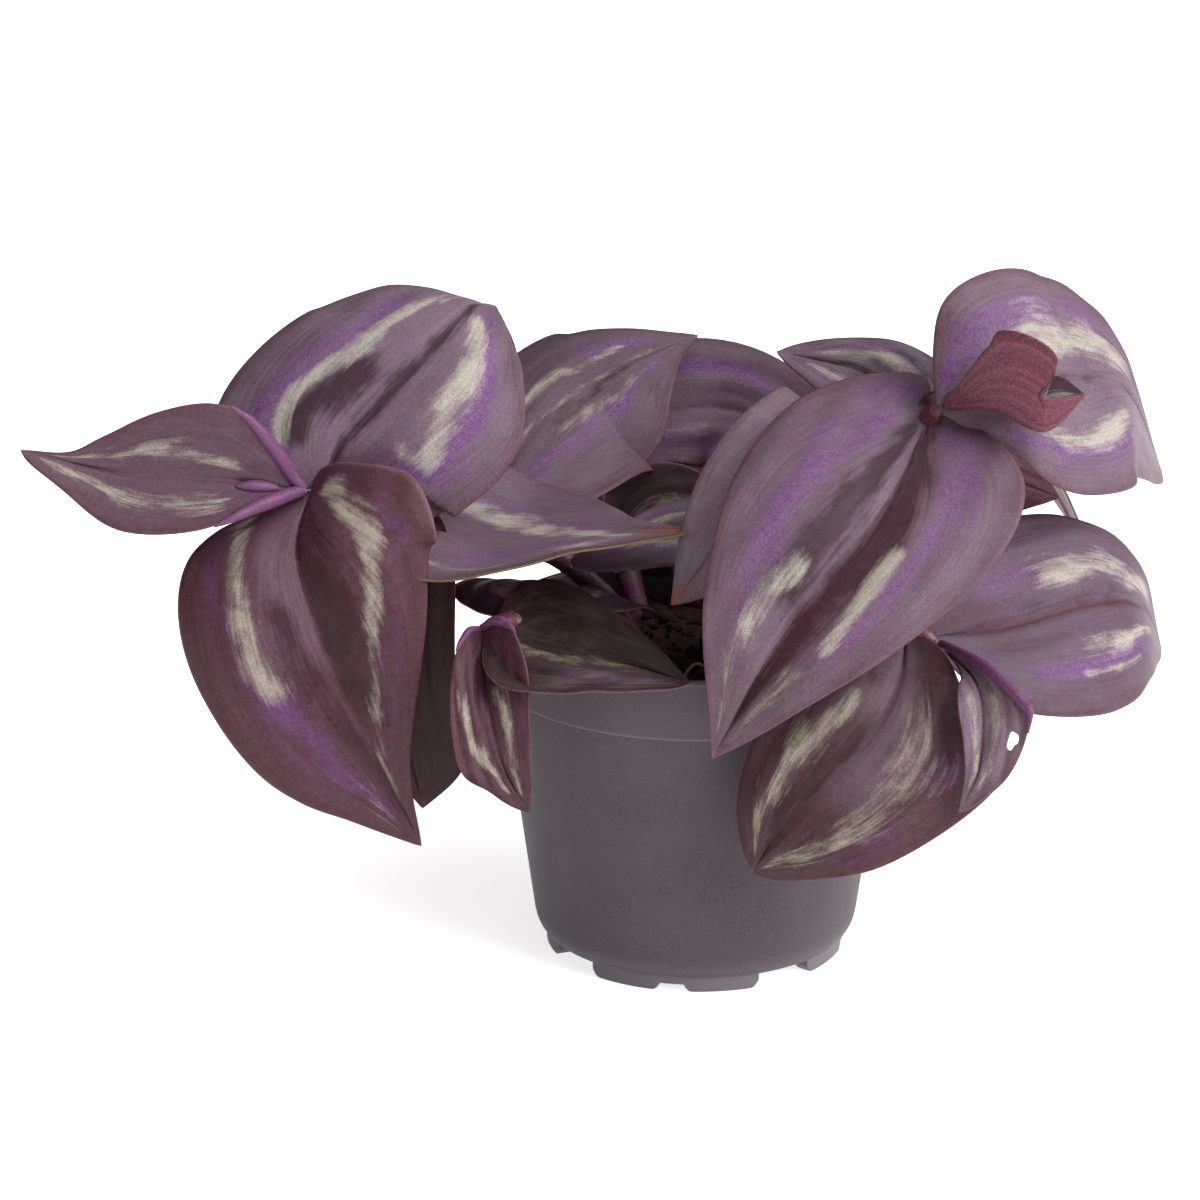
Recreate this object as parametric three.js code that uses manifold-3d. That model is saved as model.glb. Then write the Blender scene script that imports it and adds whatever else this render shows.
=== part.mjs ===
// A small potted tradescantia: a plastic nursery pot, soil, trailing stems and broad striped leaves.
// Sizes are in millimetres and +Z is up. While it is built, the pot's axis is x = 0, y = 0.
// The side seen first looks towards -Y.
import * as THREE from 'three';
import { mergeVertices } from 'three/addons/utils/BufferGeometryUtils.js';
import Module from 'manifold-3d';

const wasm = await Module();
wasm.setup();

// Pot
const potHeight = 50;
const rimRadius = 30;
const rimWall = 1.4;
const bandHeight = 8.8;
const bandStep = 0.5;
const upperRadius = 29;
const lowerRadius = 24.1;
const baseRadius = 22.4;
const cornerHeight = 4.2;
const wall = 1.1;
const floorThickness = 1.3;
const footHeight = 2.1;
const footOuterRadius = 22.2;
const footInnerRadius = 19.6;
const footSpanDegrees = 67;
const footCentresDegrees = [-98.7, -8.7, 81.3, 171.3];
const notchDepth = 0.5;
const notchSpanDegrees = 11;
const drainHoleRadius = 2.6;
const drainCircleRadius = 13;
const drainHoles = 6;

// Soil and stems
const soilTop = 45.5;
const soilGap = 0.3;
const soilBump = 0.9;
const clearance = 0.3;
const leafGap = 0.5;
const stemRadius = 1.7;
const stemTipRadius = 1.35;
const jointSwelling = 0.35;
const stemRings = 10;
const sheathWall = 0.6;
const sheathLength = 3;

// Leaves
const bladeThickness = 0.7;
const seenCells = [6, 8];
const hiddenCells = [4, 6];

// Half of a flat leaf: share of the half width, share of the length
const leafOutline = [
  [0, 0],
  [0.5, -0.07],
  [0.88, 0.07],
  [1, 0.28],
  [0.93, 0.5],
  [0.63, 0.73],
  [0.25, 0.91],
  [0, 1],
];

// The same for a leaf that is not heart-shaped at its base
const plainOutline = [
  [0, 0],
  [0.4, 0],
  [0.79, 0.11],
  [1, 0.31],
  [0.92, 0.51],
  [0.63, 0.73],
  [0.25, 0.91],
  [0, 1],
];

// The same for a leaf that is still unrolling
const youngOutline = [
  [0, 0],
  [0.45, 0.03],
  [0.88, 0.14],
  [1, 0.33],
  [0.76, 0.55],
  [0.4, 0.76],
  [0.13, 0.9],
  [0, 1],
];

// Where a leaf looks whose upper side is turned to the seen side
const toFront = [0, -0.94, 0.34];

// Smooth curve through points of any dimension, t from 0 to 1
function smoothThrough(points, t) {
  const last = points.length - 1;
  const place = THREE.MathUtils.clamp(t, 0, 1) * last;
  const k = Math.min(Math.floor(place), last - 1);
  const s = place - k;
  const b = points[k];
  const c = points[k + 1];
  const a = k > 0 ? points[k - 1] : b.map((value, i) => 2 * value - c[i]);
  const d = k < last - 1 ? points[k + 2] : c.map((value, i) => 2 * value - b[i]);
  return b.map((value, i) => 0.5 * (2 * value + (c[i] - a[i]) * s
    + (2 * a[i] - 5 * value + 4 * c[i] - d[i]) * s * s
    + (3 * value - a[i] - 3 * c[i] + d[i]) * s * s * s));
}

const vector = (list) => new THREE.Vector3(...list);

function directionOf(points, t) {
  const ahead = vector(smoothThrough(points, Math.min(t + 0.01, 1)));
  return ahead.sub(vector(smoothThrough(points, Math.max(t - 0.01, 0)))).normalize();
}

function lengthOf(points) {
  const steps = 24;
  let total = 0;
  for (let i = 0; i < steps; i += 1) {
    const from = vector(smoothThrough(points, i / steps));
    total += from.distanceTo(vector(smoothThrough(points, (i + 1) / steps)));
  }
  return total;
}

function solidFrom(positions, triangles) {
  const mesh = new wasm.Mesh({
    numProp: 3,
    vertProperties: new Float32Array(positions.flat()),
    triVerts: new Uint32Array(triangles.flat()),
  });
  return new wasm.Manifold(mesh);
}

// Round rod along a curve; radiusAt gives its radius at t
function rod(points, radiusAt, from, to, rings, sides) {
  const positions = [];
  const triangles = [];
  let across = new THREE.Vector3(0.31, 0.9, 0.3);
  for (let i = 0; i <= rings; i += 1) {
    const t = from + (to - from) * i / rings;
    const centre = vector(smoothThrough(points, t));
    const along = directionOf(points, t);
    across = across.clone().addScaledVector(along, -across.dot(along)).normalize();
    const beside = along.clone().cross(across);
    for (let j = 0; j < sides; j += 1) {
      const angle = 2 * Math.PI * j / sides;
      const point = centre.clone()
        .addScaledVector(across, radiusAt(t) * Math.cos(angle))
        .addScaledVector(beside, radiusAt(t) * Math.sin(angle));
      positions.push(point.toArray());
    }
  }
  for (let i = 0; i < rings; i += 1) {
    for (let j = 0; j < sides; j += 1) {
      const next = (j + 1) % sides;
      const a = i * sides + j;
      const b = i * sides + next;
      triangles.push([a, b, b + sides]);
      triangles.push([a, b + sides, a + sides]);
    }
  }
  const start = positions.length;
  positions.push(smoothThrough(points, from));
  positions.push(smoothThrough(points, to));
  const top = rings * sides;
  for (let j = 0; j < sides; j += 1) {
    const next = (j + 1) % sides;
    triangles.push([start, next, j]);
    triangles.push([start + 1, top + j, top + next]);
  }
  return solidFrom(positions, triangles);
}

// Point of a blade: u from -1 to 1 across it, v from 0 at the stem to 1 at the tip
function bladePoint(leaf, u, v) {
  const outline = (u < 0 ? leaf.leftOutline : leaf.rightOutline) ?? leaf.outline ?? leafOutline;
  const [side, along] = smoothThrough(outline, v);
  const place = (1 - u * u) * v + u * u * along;
  const t = THREE.MathUtils.clamp(place, 0, 1);
  const point = vector(smoothThrough(leaf.midrib, t));
  const forward = directionOf(leaf.midrib, t);
  point.addScaledVector(forward, Math.min(place, 0) * leaf.length);
  const up = vector(smoothThrough(leaf.facing, t));
  up.addScaledVector(forward, -up.dot(forward)).normalize();
  const beside = forward.clone().cross(up).multiplyScalar(Math.sign(u));
  const [foldDegrees, curlDegrees] = smoothThrough(u < 0 ? leaf.left : leaf.right, t);
  const fold = THREE.MathUtils.degToRad(foldDegrees);
  const curl = THREE.MathUtils.degToRad(curlDegrees) || 0.001;
  const reach = Math.abs(u) * side;
  const halfWidth = leaf.width / 2;
  point.addScaledVector(beside, halfWidth * (Math.sin(fold + curl * reach) - Math.sin(fold)) / curl);
  point.addScaledVector(up, halfWidth * (Math.cos(fold) - Math.cos(fold + curl * reach)) / curl);
  return point;
}

function bladeNormal(leaf, u, v) {
  const step = 0.02;
  const middle = THREE.MathUtils.clamp(v, 0.05, 0.95);
  const across = bladePoint(leaf, Math.min(u + step, 1), middle);
  across.sub(bladePoint(leaf, Math.max(u - step, -1), middle));
  const along = bladePoint(leaf, u, middle + step).sub(bladePoint(leaf, u, middle - step));
  return across.cross(along).normalize();
}

function blade(leaf, thickness) {
  const positions = [];
  const triangles = [];
  const [cellsAcross, cellsAlong] = leaf.name.includes('back_') ? hiddenCells : seenCells;
  const rowLength = cellsAcross + 1;
  const layerSize = (cellsAlong - 1) * rowLength + 2;
  const tip = layerSize - 1;
  for (const layer of [0.5, -0.5]) {
    const offset = layer * thickness;
    const add = (u, v) => {
      positions.push(bladePoint(leaf, u, v).addScaledVector(bladeNormal(leaf, u, v), offset).toArray());
    };
    add(0, 0);
    for (let row = 1; row < cellsAlong; row += 1) {
      for (let i = 0; i <= cellsAcross; i += 1) {
        add(2 * i / cellsAcross - 1, row / cellsAlong);
      }
    }
    add(0, 1);
  }
  const at = (row, i) => {
    if (row === 0) return 0;
    return row === cellsAlong ? tip : 1 + (row - 1) * rowLength + i;
  };
  const face = (a, b, c) => {
    if (a === b || b === c || a === c) return;
    triangles.push([a, b, c]);
    triangles.push([a + layerSize, c + layerSize, b + layerSize]);
  };
  for (let row = 0; row < cellsAlong; row += 1) {
    for (let i = 0; i < cellsAcross; i += 1) {
      const corners = [at(row, i), at(row, i + 1), at(row + 1, i + 1), at(row + 1, i)];
      face(corners[0], corners[1], corners[2]);
      face(corners[0], corners[2], corners[3]);
    }
    for (const i of [0, cellsAcross]) {
      const near = i === 0 ? at(row + 1, i) : at(row, i);
      const far = i === 0 ? at(row, i) : at(row + 1, i);
      triangles.push([near, near + layerSize, far + layerSize]);
      triangles.push([near, far + layerSize, far]);
    }
  }
  return solidFrom(positions, triangles);
}

// Stems, from the buried end to the growing tip
const stems = {
  left: [[-9, 3, 37], [-10, 3, 46], [-19, 3, 57], [-32, 2, 63], [-44, -4, 69], [-56, -12.5, 72.5]],
  rim: [[-12, -10, 37], [-13, -11, 45], [-20, -15, 51], [-26, -18, 54.5], [-30.5, -21.5, 55]],
  upper: [[9, 4, 37], [10, 4, 46], [16, 4, 58], [25, 2, 70], [31, -3, 79], [34.3, -9, 84.5]],
  lower: [[15, -8, 37], [16, -9, 45], [22, -11, 52], [29, -13, 53], [34.4, -15, 51.3]],
  backLeft: [[-8, 15, 37], [-9, 17, 46], [-14, 26, 58], [-22, 36, 66], [-31, 46, 67]],
  backRight: [[9, 15, 37], [10, 17, 46], [13, 26, 57], [20, 36, 63], [30, 45, 62]],
};

// A fine root that arches out of the soil, and a bud in the youngest leaf on the left
const rootPath = [[-2, -14, 44], [-1.5, -14.2, 46], [0, -14.5, 47.6], [1.8, -14.8, 46.5], [2.6, -15, 44]];
const budPath = [[-59.5, -14.6, 73.6], [-62.5, -15.8, 74.3], [-65.2, -16.8, 74.7]];
const rootRadius = 0.35;
const budRadius = 1.2;

const jointPlaces = {
  left: [0.3, 0.48, 0.62, 0.9, 0.95],
  rim: [0.45, 0.75, 0.9],
  upper: [0.35, 0.55, 0.75, 0.9, 0.95],
  lower: [0.45, 0.75, 0.9],
  backLeft: [0.35, 0.6, 0.8, 0.93],
  backRight: [0.35, 0.6, 0.8, 0.93],
};

function stemRadiusAt(name) {
  const reach = lengthOf(stems[name]);
  return (t) => {
    let radius = THREE.MathUtils.lerp(stemRadius, stemTipRadius, t);
    for (const joint of jointPlaces[name]) {
      const away = (t - joint) * reach / 1.6;
      radius += jointSwelling * Math.exp(-away * away);
    }
    return radius;
  };
}

// Leaves in view are listed first. The midrib starts at the stem; facing is where the upper side looks.
// Each side holds its fold at the midrib and its curl towards the margin, in degrees, at the base, the
// middle and the tip.
const leaves = [
  {
    name: 'leaf_left_upper', stem: 'left', at: 0.96, width: 42,
    leftOutline: [
      [0, 0], [0.51, -0.04], [0.9, 0.11], [1.02, 0.31],
      [0.93, 0.51], [0.61, 0.69], [0.22, 0.85], [0, 1],
    ],
    rightOutline: [
      [0, 0], [0.48, -0.06], [0.84, 0.09], [0.94, 0.33],
      [0.94, 0.5], [0.61, 0.65], [0.2, 0.78], [0, 1],
    ],
    midrib: [[-50.3, -8.3, 79.1], [-40.6, -2.9, 88.3], [-33.4, 6.6, 94.6], [-31, 22.5, 90.7]],
    facing: [[0, -0.9, 0.5], [0, -0.85, 0.5], [0.1, -0.5, 0.8]],
    left: [[12, -35], [8, -60], [0, -40]],
    right: [[-5, -20], [10, -40], [5, -30]],
  },
  {
    name: 'leaf_left_hanging', stem: 'left', at: 0.985, width: 37,
    leftOutline: [
      [0, 0], [0.11, -0.06], [0.54, -0.03], [0.94, 0.01],
      [1.12, 0.19], [0.79, 0.52], [0.23, 0.79], [0, 1],
    ],
    rightOutline: [
      [0, 0], [0.38, 0.08], [0.76, 0.17], [1.01, 0.3],
      [1.05, 0.49], [0.83, 0.74], [0.36, 0.89], [0, 1],
    ],
    midrib: [[-56.3, -21.4, 65.3], [-51.8, -25.3, 52.3], [-45.7, -25.2, 38.3], [-39.3, -20.9, 21.7]],
    facing: [[-0.25, -0.4, 0.9], [0, -0.85, 0.45], toFront, toFront],
    left: [[32, -60], [12, -35], [8, -20]],
    right: [[0, -30], [12, -35], [8, -20]],
  },
  {
    name: 'leaf_left_young', stem: 'left', at: 1, width: 23,
    leftOutline: [
      [0, 0], [0.43, 0.06], [0.84, 0.2], [0.97, 0.42],
      [0.76, 0.67], [0.4, 0.82], [0.15, 0.96], [0, 1],
    ],
    rightOutline: [
      [0, 0], [0.47, 0.05], [0.91, 0.18], [1.04, 0.38],
      [0.79, 0.57], [0.41, 0.74], [0.12, 0.84], [0, 1],
    ],
    midrib: [[-65, -15.6, 74.7], [-81.5, -17.7, 76.5], [-95, -20, 80.4]],
    facing: [[0, -0.8, 0.6], [0, -0.9, 0.4], toFront],
    sides: [[50, 190], [20, 10], [15, 0]],
  },
  {
    name: 'leaf_behind_left', stem: 'left', at: 0.82, width: 20,
    leftOutline: [
      [0, 0], [0.45, 0.04], [0.8, 0.17], [0.92, 0.34],
      [0.92, 0.52], [0.88, 0.7], [0.78, 0.9], [0, 1],
    ],
    rightOutline: plainOutline,
    midrib: [[-44, -10, 61], [-43.5, -12, 43], [-40, -9, 23]],
    facing: [toFront, toFront, toFront],
    sides: [[12, -20], [12, -30], [8, -10]],
  },
  {
    name: 'leaf_centre_upper', stem: 'left', at: 0.62, width: 37,
    leftOutline: plainOutline, rightOutline: youngOutline,
    midrib: [[-22.4, 25.4, 74.4], [-12.4, 32.1, 78.8], [-0.1, 40, 82.1]],
    facing: [[0, -0.8, 0.6], [0, -0.8, 0.6], [0, -0.7, 0.7]],
    left: [[-20, -30], [-20, -40], [-10, -20]],
    right: [[12, -15], [10, -25], [5, -10]],
  },
  {
    name: 'leaf_centre_flat', stem: 'left', at: 0.73, width: 36,
    leftOutline: [
      [0, 0], [0.5, -0.08], [0.88, 0.05], [0.99, 0.23],
      [0.91, 0.42], [0.59, 0.6], [0.19, 0.75], [0, 1],
    ],
    rightOutline: [
      [0, 0], [0.54, -0.09], [0.95, 0.03], [1.07, 0.21],
      [0.94, 0.4], [0.61, 0.67], [0.23, 0.92], [0, 1],
    ],
    midrib: [[-28.7, -5.4, 64.2], [-14.7, -9.2, 66], [0.4, -13.9, 67.5]],
    facing: [[0, -0.2, 1], [0, -0.1, 1], [0, -0.1, 1]],
    sides: [[8, -10], [8, -15], [5, -10]],
  },
  {
    name: 'leaf_centre_back', stem: 'upper', at: 0.55, width: 29,
    leftOutline: [
      [0, 0], [0.29, 0], [0.58, 0.11], [0.73, 0.3],
      [0.65, 0.49], [0.42, 0.72], [0.14, 0.9], [0, 1],
    ],
    rightOutline: [
      [0, 0], [0.32, 0.06], [0.64, 0.23], [0.82, 0.47],
      [0.75, 0.66], [0.51, 0.84], [0.19, 0.97], [0, 1],
    ],
    midrib: [[6.5, 31.4, 72.2], [-8.9, 35.4, 70.2], [-13.6, 37.4, 66.2]],
    facing: [[0, -0.8, 0.6], [0, -0.8, 0.6], [0, -0.8, 0.6]],
    sides: [[12, -15], [10, -25], [5, -10]],
  },
  {
    name: 'leaf_centre_dark', stem: 'backLeft', at: 0.4, width: 18, outline: plainOutline,
    midrib: [[-6, 19, 58.5], [1, 18, 59], [9, 18, 57]],
    facing: [toFront, toFront, toFront],
    sides: [[10, -15], [10, -20], [5, -10]],
  },
  {
    name: 'leaf_centre_under', stem: 'upper', at: 0.35, width: 20,
    leftOutline: [
      [0, 0], [0.4, 0.05], [0.79, 0.2], [1, 0.44],
      [0.93, 0.66], [0.66, 0.87], [0.27, 0.99], [0, 1],
    ],
    rightOutline: [
      [0, 0], [0.4, 0], [0.79, 0.11], [1, 0.31],
      [0.92, 0.51], [0.63, 0.73], [0.25, 0.91], [0, 1],
    ],
    midrib: [[2.7, -2.6, 61.4], [-3.8, -3.9, 64.2], [-18.5, -4.3, 59.8]],
    facing: [[0, -0.3, 1], [0, -0.3, 1], [0, -0.3, 1]],
    sides: [[5, -10], [5, -10], [5, -10]],
  },
  {
    name: 'leaf_edge_on', stem: 'left', at: 0.3, width: 33, outline: plainOutline,
    midrib: [[-20, -5, 56.5], [-23, -12, 56], [-25, -19, 55]],
    facing: [[0, 0.1, 1], [0, 0.1, 1], [0, 0.3, 1]],
    sides: [[0, -10], [0, -10], [0, -10]],
  },
  {
    name: 'leaf_rim_young', stem: 'rim', at: 1, width: 14,
    leftOutline: [
      [0, 0], [0.46, 0.01], [0.91, 0.1], [1.04, 0.27],
      [0.8, 0.47], [0.47, 0.76], [0.18, 0.92], [0, 1],
    ],
    rightOutline: [
      [0, 0], [0.35, 0.04], [0.71, 0.19], [0.85, 0.47],
      [0.83, 0.64], [0.5, 0.74], [0.22, 0.91], [0, 1],
    ],
    midrib: [[-29.3, -29.8, 47.3], [-26.9, -33, 38.5], [-23.3, -32.5, 31.4]],
    facing: [toFront, toFront, toFront],
    sides: [[40, 120], [10, 0], [10, 0]],
  },
  {
    name: 'leaf_on_rim', stem: 'rim', at: 0.88, width: 26,
    leftOutline: [
      [0, 0], [0.38, -0.02], [0.76, 0.07], [0.96, 0.25],
      [0.87, 0.44], [0.58, 0.66], [0.22, 0.88], [0, 1],
    ],
    rightOutline: [
      [0, 0], [0.38, 0], [0.75, 0.11], [0.94, 0.32],
      [0.85, 0.52], [0.56, 0.74], [0.2, 0.94], [0, 1],
    ],
    midrib: [[-22.2, -21.8, 53.6], [-12.3, -26.1, 52.4], [-0.8, -32, 50.6]],
    facing: [[0, -0.4, 0.9], [0, -0.4, 0.9], [0, -0.5, 0.9]],
    sides: [[8, -10], [8, -15], [5, -10]],
  },
  {
    name: 'leaf_right_large', stem: 'upper', at: 0.89, width: 39.5,
    leftOutline: [
      [0, 0], [0.28, -0.02], [0.75, 0.07], [0.91, 0.2],
      [0.85, 0.35], [0.61, 0.6], [0.25, 0.86], [0, 1],
    ],
    rightOutline: [
      [0, 0], [0.17, -0.12], [0.67, -0.02], [1.03, 0.15],
      [1.03, 0.43], [0.71, 0.62], [0.3, 0.82], [0, 1],
    ],
    midrib: [[24.9, -24.4, 72.8], [10.8, -35.3, 57.2], [2.1, -37.4, 41.4]],
    facing: [[0, -0.7, 0.7], [0, -0.85, 0.5], toFront],
    sides: [[14, -25], [12, -35], [8, -20]],
  },
  {
    name: 'leaf_right_strip', stem: 'upper', at: 0.4, width: 30,
    leftOutline: [
      [0, 0], [0.26, 0.14], [0.5, 0.32], [0.66, 0.5],
      [0.66, 0.64], [0.5, 0.79], [0.22, 0.92], [0, 1],
    ],
    rightOutline: [
      [0, 0], [0.5, -0.05], [0.88, 0.1], [1, 0.32],
      [0.93, 0.51], [0.62, 0.68], [0.25, 0.88], [0, 1],
    ],
    midrib: [[20.6, -7.2, 76], [6.4, -15, 69.2], [-3.8, -19.2, 57.8]],
    facing: [[-0.4, -0.8, 0.5], [-0.4, -0.8, 0.4], [-0.4, -0.8, 0.3]],
    sides: [[8, -15], [8, -25], [5, -10]],
  },
  {
    name: 'leaf_right_upper', stem: 'upper', at: 0.96, width: 35.5,
    leftOutline: [
      [0, 0], [0.44, 0.05], [0.86, 0.16], [1.01, 0.4],
      [0.93, 0.6], [0.6, 0.7], [0.2, 0.8], [0, 1],
    ],
    rightOutline: [
      [0, 0], [0.44, 0.15], [0.83, 0.35], [0.95, 0.53],
      [0.89, 0.7], [0.61, 0.87], [0.24, 0.98], [0, 1],
    ],
    midrib: [[44.2, -5.4, 86.6], [52.9, 2, 84.9], [62.1, 12.1, 81.7], [69.4, 26.8, 65.6]],
    facing: [[0.3, -0.75, 0.5], [0.45, -0.65, 0.5], [0.6, -0.4, 0.6]],
    left: [[12, -15], [10, -25], [8, -20]],
    right: [[-15, 0], [5, -20], [8, -20]],
  },
  {
    name: 'leaf_right_young', stem: 'upper', at: 1, width: 27, outline: plainOutline,
    midrib: [[40.9, -12.8, 84.5], [48.2, -13.5, 82.8], [54.2, -11.4, 86.8]],
    facing: [[0, 0.3, 1], [0, 0.3, 1], [0, 0.3, 1]],
    left: [[45, 15], [45, 15], [40, 0]],
    right: [[60, 10], [65, 15], [60, 0]],
  },
  {
    name: 'leaf_right_behind', stem: 'upper', at: 0.75, width: 22,
    leftOutline: [
      [0, 0], [0.5, -0.07], [0.88, 0.07], [1, 0.28],
      [0.93, 0.5], [0.63, 0.73], [0.25, 0.91], [0, 1],
    ],
    rightOutline: [
      [0, 0], [0.48, -0.09], [0.83, 0.03], [0.93, 0.22],
      [0.85, 0.43], [0.55, 0.67], [0.22, 0.91], [0, 1],
    ],
    midrib: [[28, 9.2, 80.5], [23.3, 13.8, 83.7], [11.3, 18.4, 85.2]],
    facing: [[0, -0.7, 0.7], [0, -0.7, 0.7], [0, -0.7, 0.7]],
    sides: [[10, -15], [10, -20], [5, -10]],
  },
  {
    name: 'leaf_right_turned', stem: 'upper', at: 0.82, width: 16,
    midrib: [[38.5, 2, 75.5], [45, 5, 70], [53, 10, 65.5]],
    facing: [[0, 0.9, -0.2], [0, 0.9, -0.2], [0, 0.9, -0.2]],
    sides: [[5, -15], [5, -20], [5, -10]],
  },
  {
    name: 'leaf_side_upper', stem: 'lower', at: 0.93, width: 34,
    leftOutline: [
      [0, 0], [0.36, -0.01], [0.72, 0.08], [0.91, 0.27],
      [0.83, 0.47], [0.56, 0.68], [0.21, 0.87], [0, 1],
    ],
    rightOutline: [
      [0, 0], [0.37, 0.06], [0.75, 0.21], [0.97, 0.4],
      [0.91, 0.58], [0.62, 0.77], [0.24, 0.92], [0, 1],
    ],
    midrib: [[44.3, -9.3, 52], [56.7, -2, 53.3], [65.2, 8.2, 49.7], [70.5, 24.5, 37.5]],
    facing: [[0.2, -0.8, 0.5], [0.35, -0.7, 0.5], [0.6, -0.5, 0.5]],
    sides: [[12, -15], [10, -25], [8, -20]],
  },
  {
    name: 'leaf_side_hanging', stem: 'lower', at: 0.8, width: 40,
    leftOutline: [
      [0, 0], [0.5, -0.09], [0.88, 0.04], [0.98, 0.24],
      [0.86, 0.47], [0.57, 0.76], [0.22, 0.94], [0, 1],
    ],
    rightOutline: [
      [0, 0], [0.46, -0.11], [0.8, 0], [0.89, 0.18],
      [0.8, 0.38], [0.52, 0.64], [0.2, 0.89], [0, 1],
    ],
    midrib: [[26.6, -27.9, 45.9], [13.9, -36.3, 33.2], [7.8, -35.1, 23.6]],
    facing: [[0, -0.8, 0.6], toFront, toFront],
    left: [[14, -30], [12, -40], [8, -20]],
    right: [[14, -25], [12, -25], [8, -20]],
  },
  {
    name: 'leaf_side_young', stem: 'lower', at: 1, width: 15, outline: youngOutline,
    midrib: [[38.4, -28.1, 49.6], [39.8, -34.2, 41.8], [36.5, -35.5, 33.1]],
    facing: [toFront, toFront, toFront],
    sides: [[40, 120], [15, 10], [10, 0]],
  },
  {
    name: 'leaf_back_left_outer', stem: 'backLeft', at: 0.93, width: 32,
    midrib: [[-42, 50, 70], [-54, 50, 64], [-62, 47, 52]],
    facing: [[0, 0, 1], [-0.5, 0.2, 0.8], [-0.8, 0.2, 0.5]],
    sides: [[10, -20], [10, -30], [5, -20]],
  },
  {
    name: 'leaf_back_left_hanging', stem: 'backLeft', at: 0.8, width: 34,
    midrib: [[-24, 48, 62], [-20, 60, 50], [-18, 63, 33]],
    facing: [[0, 0.6, 0.8], [0, 1, 0.4], [0, 1, 0.2]],
    sides: [[10, -20], [10, -30], [5, -20]],
  },
  {
    name: 'leaf_back_left_side', stem: 'backLeft', at: 0.6, width: 30,
    midrib: [[-32, 29, 64], [-46, 30, 57], [-56, 30, 43]],
    facing: [[-0.3, 0, 1], [-0.7, 0.1, 0.6], [-0.9, 0.1, 0.3]],
    sides: [[10, -20], [10, -30], [5, -20]],
  },
  {
    name: 'leaf_back_left_young', stem: 'backLeft', at: 1, width: 15, outline: youngOutline,
    midrib: [[-36, 55, 71], [-38, 63, 74], [-37, 71, 73]],
    facing: [[0, 0, 1], [0, 0, 1], [0, 0.2, 1]],
    sides: [[50, 60], [40, 20], [30, 0]],
  },
  {
    name: 'leaf_back_right_outer', stem: 'backRight', at: 0.93, width: 33,
    midrib: [[43, 48, 64], [54, 48, 58], [61, 45, 46]],
    facing: [[0, 0, 1], [0.5, 0.2, 0.8], [0.8, 0.2, 0.5]],
    sides: [[10, -20], [10, -30], [5, -20]],
  },
  {
    name: 'leaf_back_right_hanging', stem: 'backRight', at: 0.8, width: 34,
    midrib: [[24, 50, 57], [21, 60, 45], [19, 62, 28]],
    facing: [[0, 0.6, 0.8], [0, 1, 0.4], [0, 1, 0.2]],
    sides: [[10, -20], [10, -30], [5, -20]],
  },
  {
    name: 'leaf_back_right_side', stem: 'backRight', at: 0.6, width: 29,
    midrib: [[33, 28, 60], [45, 30, 54], [54, 30, 42]],
    facing: [[0.3, 0, 1], [0.7, 0.1, 0.6], [0.9, 0.1, 0.3]],
    sides: [[10, -20], [10, -30], [5, -20]],
  },
  {
    name: 'leaf_back_right_young', stem: 'backRight', at: 1, width: 15, outline: youngOutline,
    midrib: [[35, 53, 67], [38, 61, 70], [38, 69, 68]],
    facing: [[0, 0, 1], [0, 0, 1], [0, 0.2, 1]],
    sides: [[50, 60], [40, 20], [30, 0]],
  },
  {
    name: 'leaf_back_centre', stem: 'backRight', at: 0.5, width: 33,
    midrib: [[4, 39, 67], [-2, 50, 69], [-3, 63, 62]],
    facing: [[0, -0.2, 1], [0, 0, 1], [0, 0.4, 0.9]],
    sides: [[10, -20], [10, -30], [5, -20]],
  },
];

// Room for a stem: the stem with a gap around it
function stemRoom(name) {
  const path = stems[name];
  const start = vector(path[0]).addScaledVector(directionOf(path, 0), -clearance);
  const end = vector(path[path.length - 1]).addScaledVector(directionOf(path, 1), clearance);
  const longer = [start.toArray(), ...path.slice(1, -1), end.toArray()];
  const radiusAt = stemRadiusAt(name);
  return rod(longer, (t) => radiusAt(t) + clearance, 0, 1, stemRings, 7);
}

// A leaf's solid, cut back where it would touch its stem or a leaf that is made before it
function leafSolid(leaf, earlier) {
  const path = stems[leaf.stem];
  const radiusAt = stemRadiusAt(leaf.stem);
  const reach = lengthOf(path);
  leaf.midrib.unshift(smoothThrough(path, leaf.at));
  leaf.length = lengthOf(leaf.midrib);
  leaf.left = leaf.left ?? leaf.sides;
  leaf.right = leaf.right ?? leaf.sides;
  const from = leaf.at - sheathLength / reach;
  const outside = (t) => radiusAt(t) + clearance + sheathWall;
  const sheath = rod(path, outside, from, leaf.at, 1, 7);
  let solid = blade(leaf, bladeThickness).add(sheath);
  for (const other of earlier) {
    if (solid.intersect(other).volume() > 0) solid = solid.subtract(other);
  }
  const pieces = solid.decompose().sort((a, b) => b.volume() - a.volume());
  const swollenSheath = rod(path, (t) => outside(t) + clearance, from - 0.005, leaf.at, 1, 7);
  const swollenBlades = [0.3, 1, 2].map((share) => blade(leaf, bladeThickness + share * leafGap));
  earlier.push(wasm.Manifold.union([...swollenBlades, swollenSheath]));
  return pieces[0];
}

function solidOfGeometry(geometry) {
  geometry.deleteAttribute('normal');
  geometry.deleteAttribute('uv');
  const merged = mergeVertices(geometry, 1e-3);
  return new wasm.Manifold(new wasm.Mesh({
    numProp: 3,
    vertProperties: merged.attributes.position.array,
    triVerts: new Uint32Array(merged.index.array),
  }));
}

// Profile points are radius and height, from the axis below to the axis above
function turned(profile, segments) {
  const points = profile.map(([radius, height]) => new THREE.Vector2(radius, height));
  return solidOfGeometry(new THREE.LatheGeometry(points, segments).rotateX(Math.PI / 2));
}

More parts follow.
